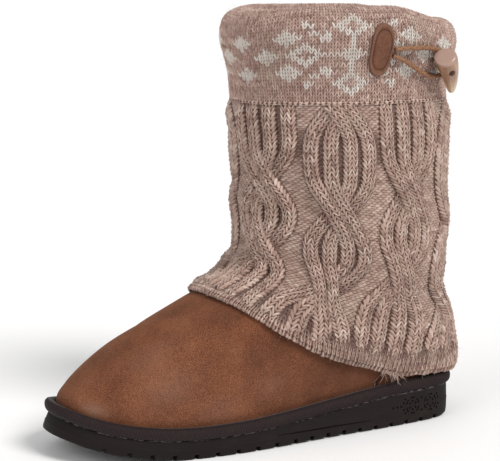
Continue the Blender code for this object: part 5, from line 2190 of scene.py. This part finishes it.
        body = skin("horn_toggle", [Sheet(48, rows, place, pattern)], weld=0.01)
        bm = bmesh.new()
        hole = bmesh.ops.create_cone(bm, cap_ends=True, segments=24, radius1=self.hole_radius,
                                     radius2=self.hole_radius, depth=30.0)["verts"]
        bmesh.ops.scale(bm, vec=(1.0, 1.35, 1.0), verts=hole)
        direction = self.hole_direction()
        axis.normalize()
        turn = Matrix((direction.cross(axis), axis, direction)).transposed().to_4x4()
        bmesh.ops.transform(bm, matrix=Matrix.Translation(middle) @ turn, verts=bm.verts)
        return carve(body, from_bmesh("hole_cutter", bm), 40)

    def tie(self) -> Piece:
        """Thread from the cuff through the toggle's hole, with a knot in the hole's mouth."""
        root, middle, outwards = self.toggle_line()
        direction = self.hole_direction()
        middle = middle + outwards * self.toggle_bend * 0.9
        points = [root, root.lerp(middle - direction * 6.4, 0.55), middle - direction * 5.6, middle,
                  middle + direction * 2.8]
        path = spline([tuple(point) for point in points], 26)

        def radius(turn: Array, i: Array) -> Array:
            """The thread swells to a knot at its outer end."""
            run = i / (len(path) - 1)
            return 0.8 + 0.75 * np.exp(-((run - 0.93) / 0.05) ** 2) - 0.6 * (run >= 1)

        return self.cord("toggle_thread", path, (0.0, 0.0, 1.0), radius)


@dataclass(frozen=True)
class Studio:
    """Pale floor, soft lights and the camera."""

    camera_place: tuple = (0.9534, -0.6132, 0.280)
    camera_aim: tuple = (0.0060, -0.0988, 0.135)
    lens: float = 126.9
    shift: tuple = (-0.0130, -0.0260)
    world: float = 0.52
    suns: tuple = (
        # from, strength, angle in degrees, colour
        ((1.40, 0.45, 1.45), 2.2, 24.0, (1.0, 0.99, 0.97)),
        ((0.50, -1.40, 0.90), 0.7, 40.0, (1.0, 1.0, 1.0)),
    )

    def aimed(self, thing: bpy.types.Object, place: tuple, aim: tuple) -> None:
        """Put a light or camera at a place and turn it to its aim."""
        thing.location = place
        thing.rotation_euler = (Vector(aim) - Vector(place)).to_track_quat("-Z", "Y").to_euler()
        bpy.context.scene.collection.objects.link(thing)

    def build(self) -> None:
        """Floor, world, lights and camera."""
        bm = bmesh.new()
        bmesh.ops.create_grid(bm, x_segments=8, y_segments=8, size=60.0)
        floor = placed("floor", mesh_of("floor", bm))
        made = bpy.data.materials.new("pale floor")
        made.use_nodes = True
        w = Wiring(made.node_tree)
        pale = w.mix(w.noise(w.place(), 3.0), linear(250, 250, 250), linear(253, 253, 253))
        w.feed(made.node_tree.nodes["Principled BSDF"], Base_Color=pale, Roughness=0.7)
        floor.data.materials.append(made)
        world = bpy.data.worlds.new("studio")
        world.use_nodes = True
        backdrop = world.node_tree.nodes["Background"]
        backdrop.inputs["Color"].default_value = (1.0, 1.0, 1.0, 1.0)
        backdrop.inputs["Strength"].default_value = self.world
        bpy.context.scene.world = world
        bpy.context.scene.view_settings.view_transform = "Standard"
        for i, (place, strength, angle, colour) in enumerate(self.suns):
            lamp = bpy.data.lights.new(f"soft_light_{i}", "SUN")
            lamp.energy = strength
            lamp.angle = math.radians(angle)
            lamp.color = colour
            self.aimed(bpy.data.objects.new(lamp.name, lamp), place, (0.0, 0.0, 0.0))
        camera = bpy.data.cameras.new("camera")
        camera.lens = self.lens
        camera.sensor_width = 36.0
        camera.shift_x, camera.shift_y = self.shift
        camera.clip_end = 200.0
        eye = bpy.data.objects.new("camera", camera)
        self.aimed(eye, self.camera_place, self.camera_aim)
        bpy.context.scene.camera = eye


def main() -> None:
    """Build and dress the boot, piece by piece."""
    logging.basicConfig(level=logging.INFO, format="%(name)s: %(message)s")
    effects = Effects()
    Studio().build()
    last = Last()
    sole = Sole(last)
    rubber = RubberFinish("moulded rubber", roughness=0.75, specular=0.2, bump=0.25).make(effects)
    tape = TapeFinish("binding tape", roughness=0.8, sheen=0.1).make(effects)
    suede = NapFinish("suede", specular=0.2, sheen=0.08, sheen_tint=linear(226, 166, 118), dusty=0.03,
                      bump=0.6, dark=linear(66, 37, 24), base=linear(101, 59, 39), tip=linear(144, 92, 64),
                      patch_size=42.0, grain_size=2300.0).make(effects)
    fleece = NapFinish("fleece", dark=linear(168, 132, 100), base=linear(206, 172, 136),
                       tip=linear(228, 200, 168), patch_size=180.0, sheen=0.4, bump=0.6).make(effects)
    cable_yarn = YarnFinish("cable yarn", sheen=0.08, bump=0.9, bump_depth=0.0010).make(effects)
    purl = YarnFinish("purl yarn", sheen=0.08, bump=0.9, bump_depth=0.0009, cells=1.0, brick=0.5,
                      gap_from=0.62, hole=0.5, sides=0.4, dark=linear(132, 104, 93),
                      light=linear(182, 154, 141)).make(effects)
    purl_ridge = YarnFinish("ridge yarn", sheen=0.08, bump=0.9, bump_depth=0.0009, cells=1.0).make(effects)
    # The cuff yarn's gap colour is painted shade between the legs.
    plain = YarnFinish("cuff yarn", sheen=0.08, bump=1.0, bump_depth=0.0010, dark=linear(142, 109, 98),
                       light=linear(192, 161, 149), fleck=linear(218, 194, 182), ivory=linear(222, 214, 206),
                       gap=linear(80, 47, 39), gap_from=0.58, hole=0.5).make(effects)
    patch_suede = NapFinish("patch suede", dark=linear(78, 46, 32), base=linear(102, 66, 49),
                            tip=linear(128, 88, 68), patch_size=160.0, grain_size=2600.0).make(effects)
    braid = BraidFinish("braided cord", roughness=0.6).make(effects)
    # The horn's pale tip colour is a painted highlight.
    horn = HornFinish("horn", cap=linear(160, 130, 116), body=linear(172, 134, 106),
                      tip=linear(214, 184, 146), roughness=0.3, specular=0.5, coat=0.35,
                      bump=0.1).make(effects)
    thread = NapFinish("thread", dark=linear(140, 110, 90), base=linear(180, 150, 128),
                       tip=linear(210, 184, 160), patch_size=400.0).make(effects)

    dress(sole.rubber(), rubber, Slot.RUBBER, "outsole")
    dress(sole.binding(), tape, Slot.TAPE, "binding")
    dress(sole.footbed(), fleece, Slot.FLEECE, "insole")
    upper = Upper(last)
    dress(upper.suede(), suede, Slot.SUEDE, "upper")
    dress(upper.lining(), fleece, Slot.FLEECE)

    knit = KnitField(last)
    cables = Cables(knit)
    ground = dress(Ground(knit, cables).piece(), purl, Slot.CABLES, "sleeve")
    ribs = [dress(piece, cable_yarn, Slot.CABLES) for piece in cables.pieces()]
    hem = dress(Hem(knit, cables).piece(), cable_yarn, Slot.CABLES)
    form = CuffForm(last)
    cuff = dress(Cuff(form).piece(), plain, Slot.PATTERN, "cuff")
    fuzz = Fuzz()
    dress(fuzz.piece("sleeve_fibres", [ground, *ribs, hem], 4200, 3), cable_yarn, Slot.CABLES)
    dress(fuzz.piece("cuff_fibres", [cuff], 1500, 4), plain, Slot.PATTERN)
    dress(fuzz.frayed_end(knit), cable_yarn, Slot.CABLES)
    dress(SeamRidge(form).piece(), purl_ridge, Slot.PATTERN)

    closure = Closure(form)
    dress(closure.patch(), patch_suede, Slot.PATCH, "patch")
    dress(closure.loop(), braid, Slot.ELASTIC, "loop")
    dress(closure.toggle(), horn, Slot.HORN, "toggle")
    dress(closure.tie(), thread, Slot.THREAD, "toggle_tie")


if __name__ == "__main__":
    main()
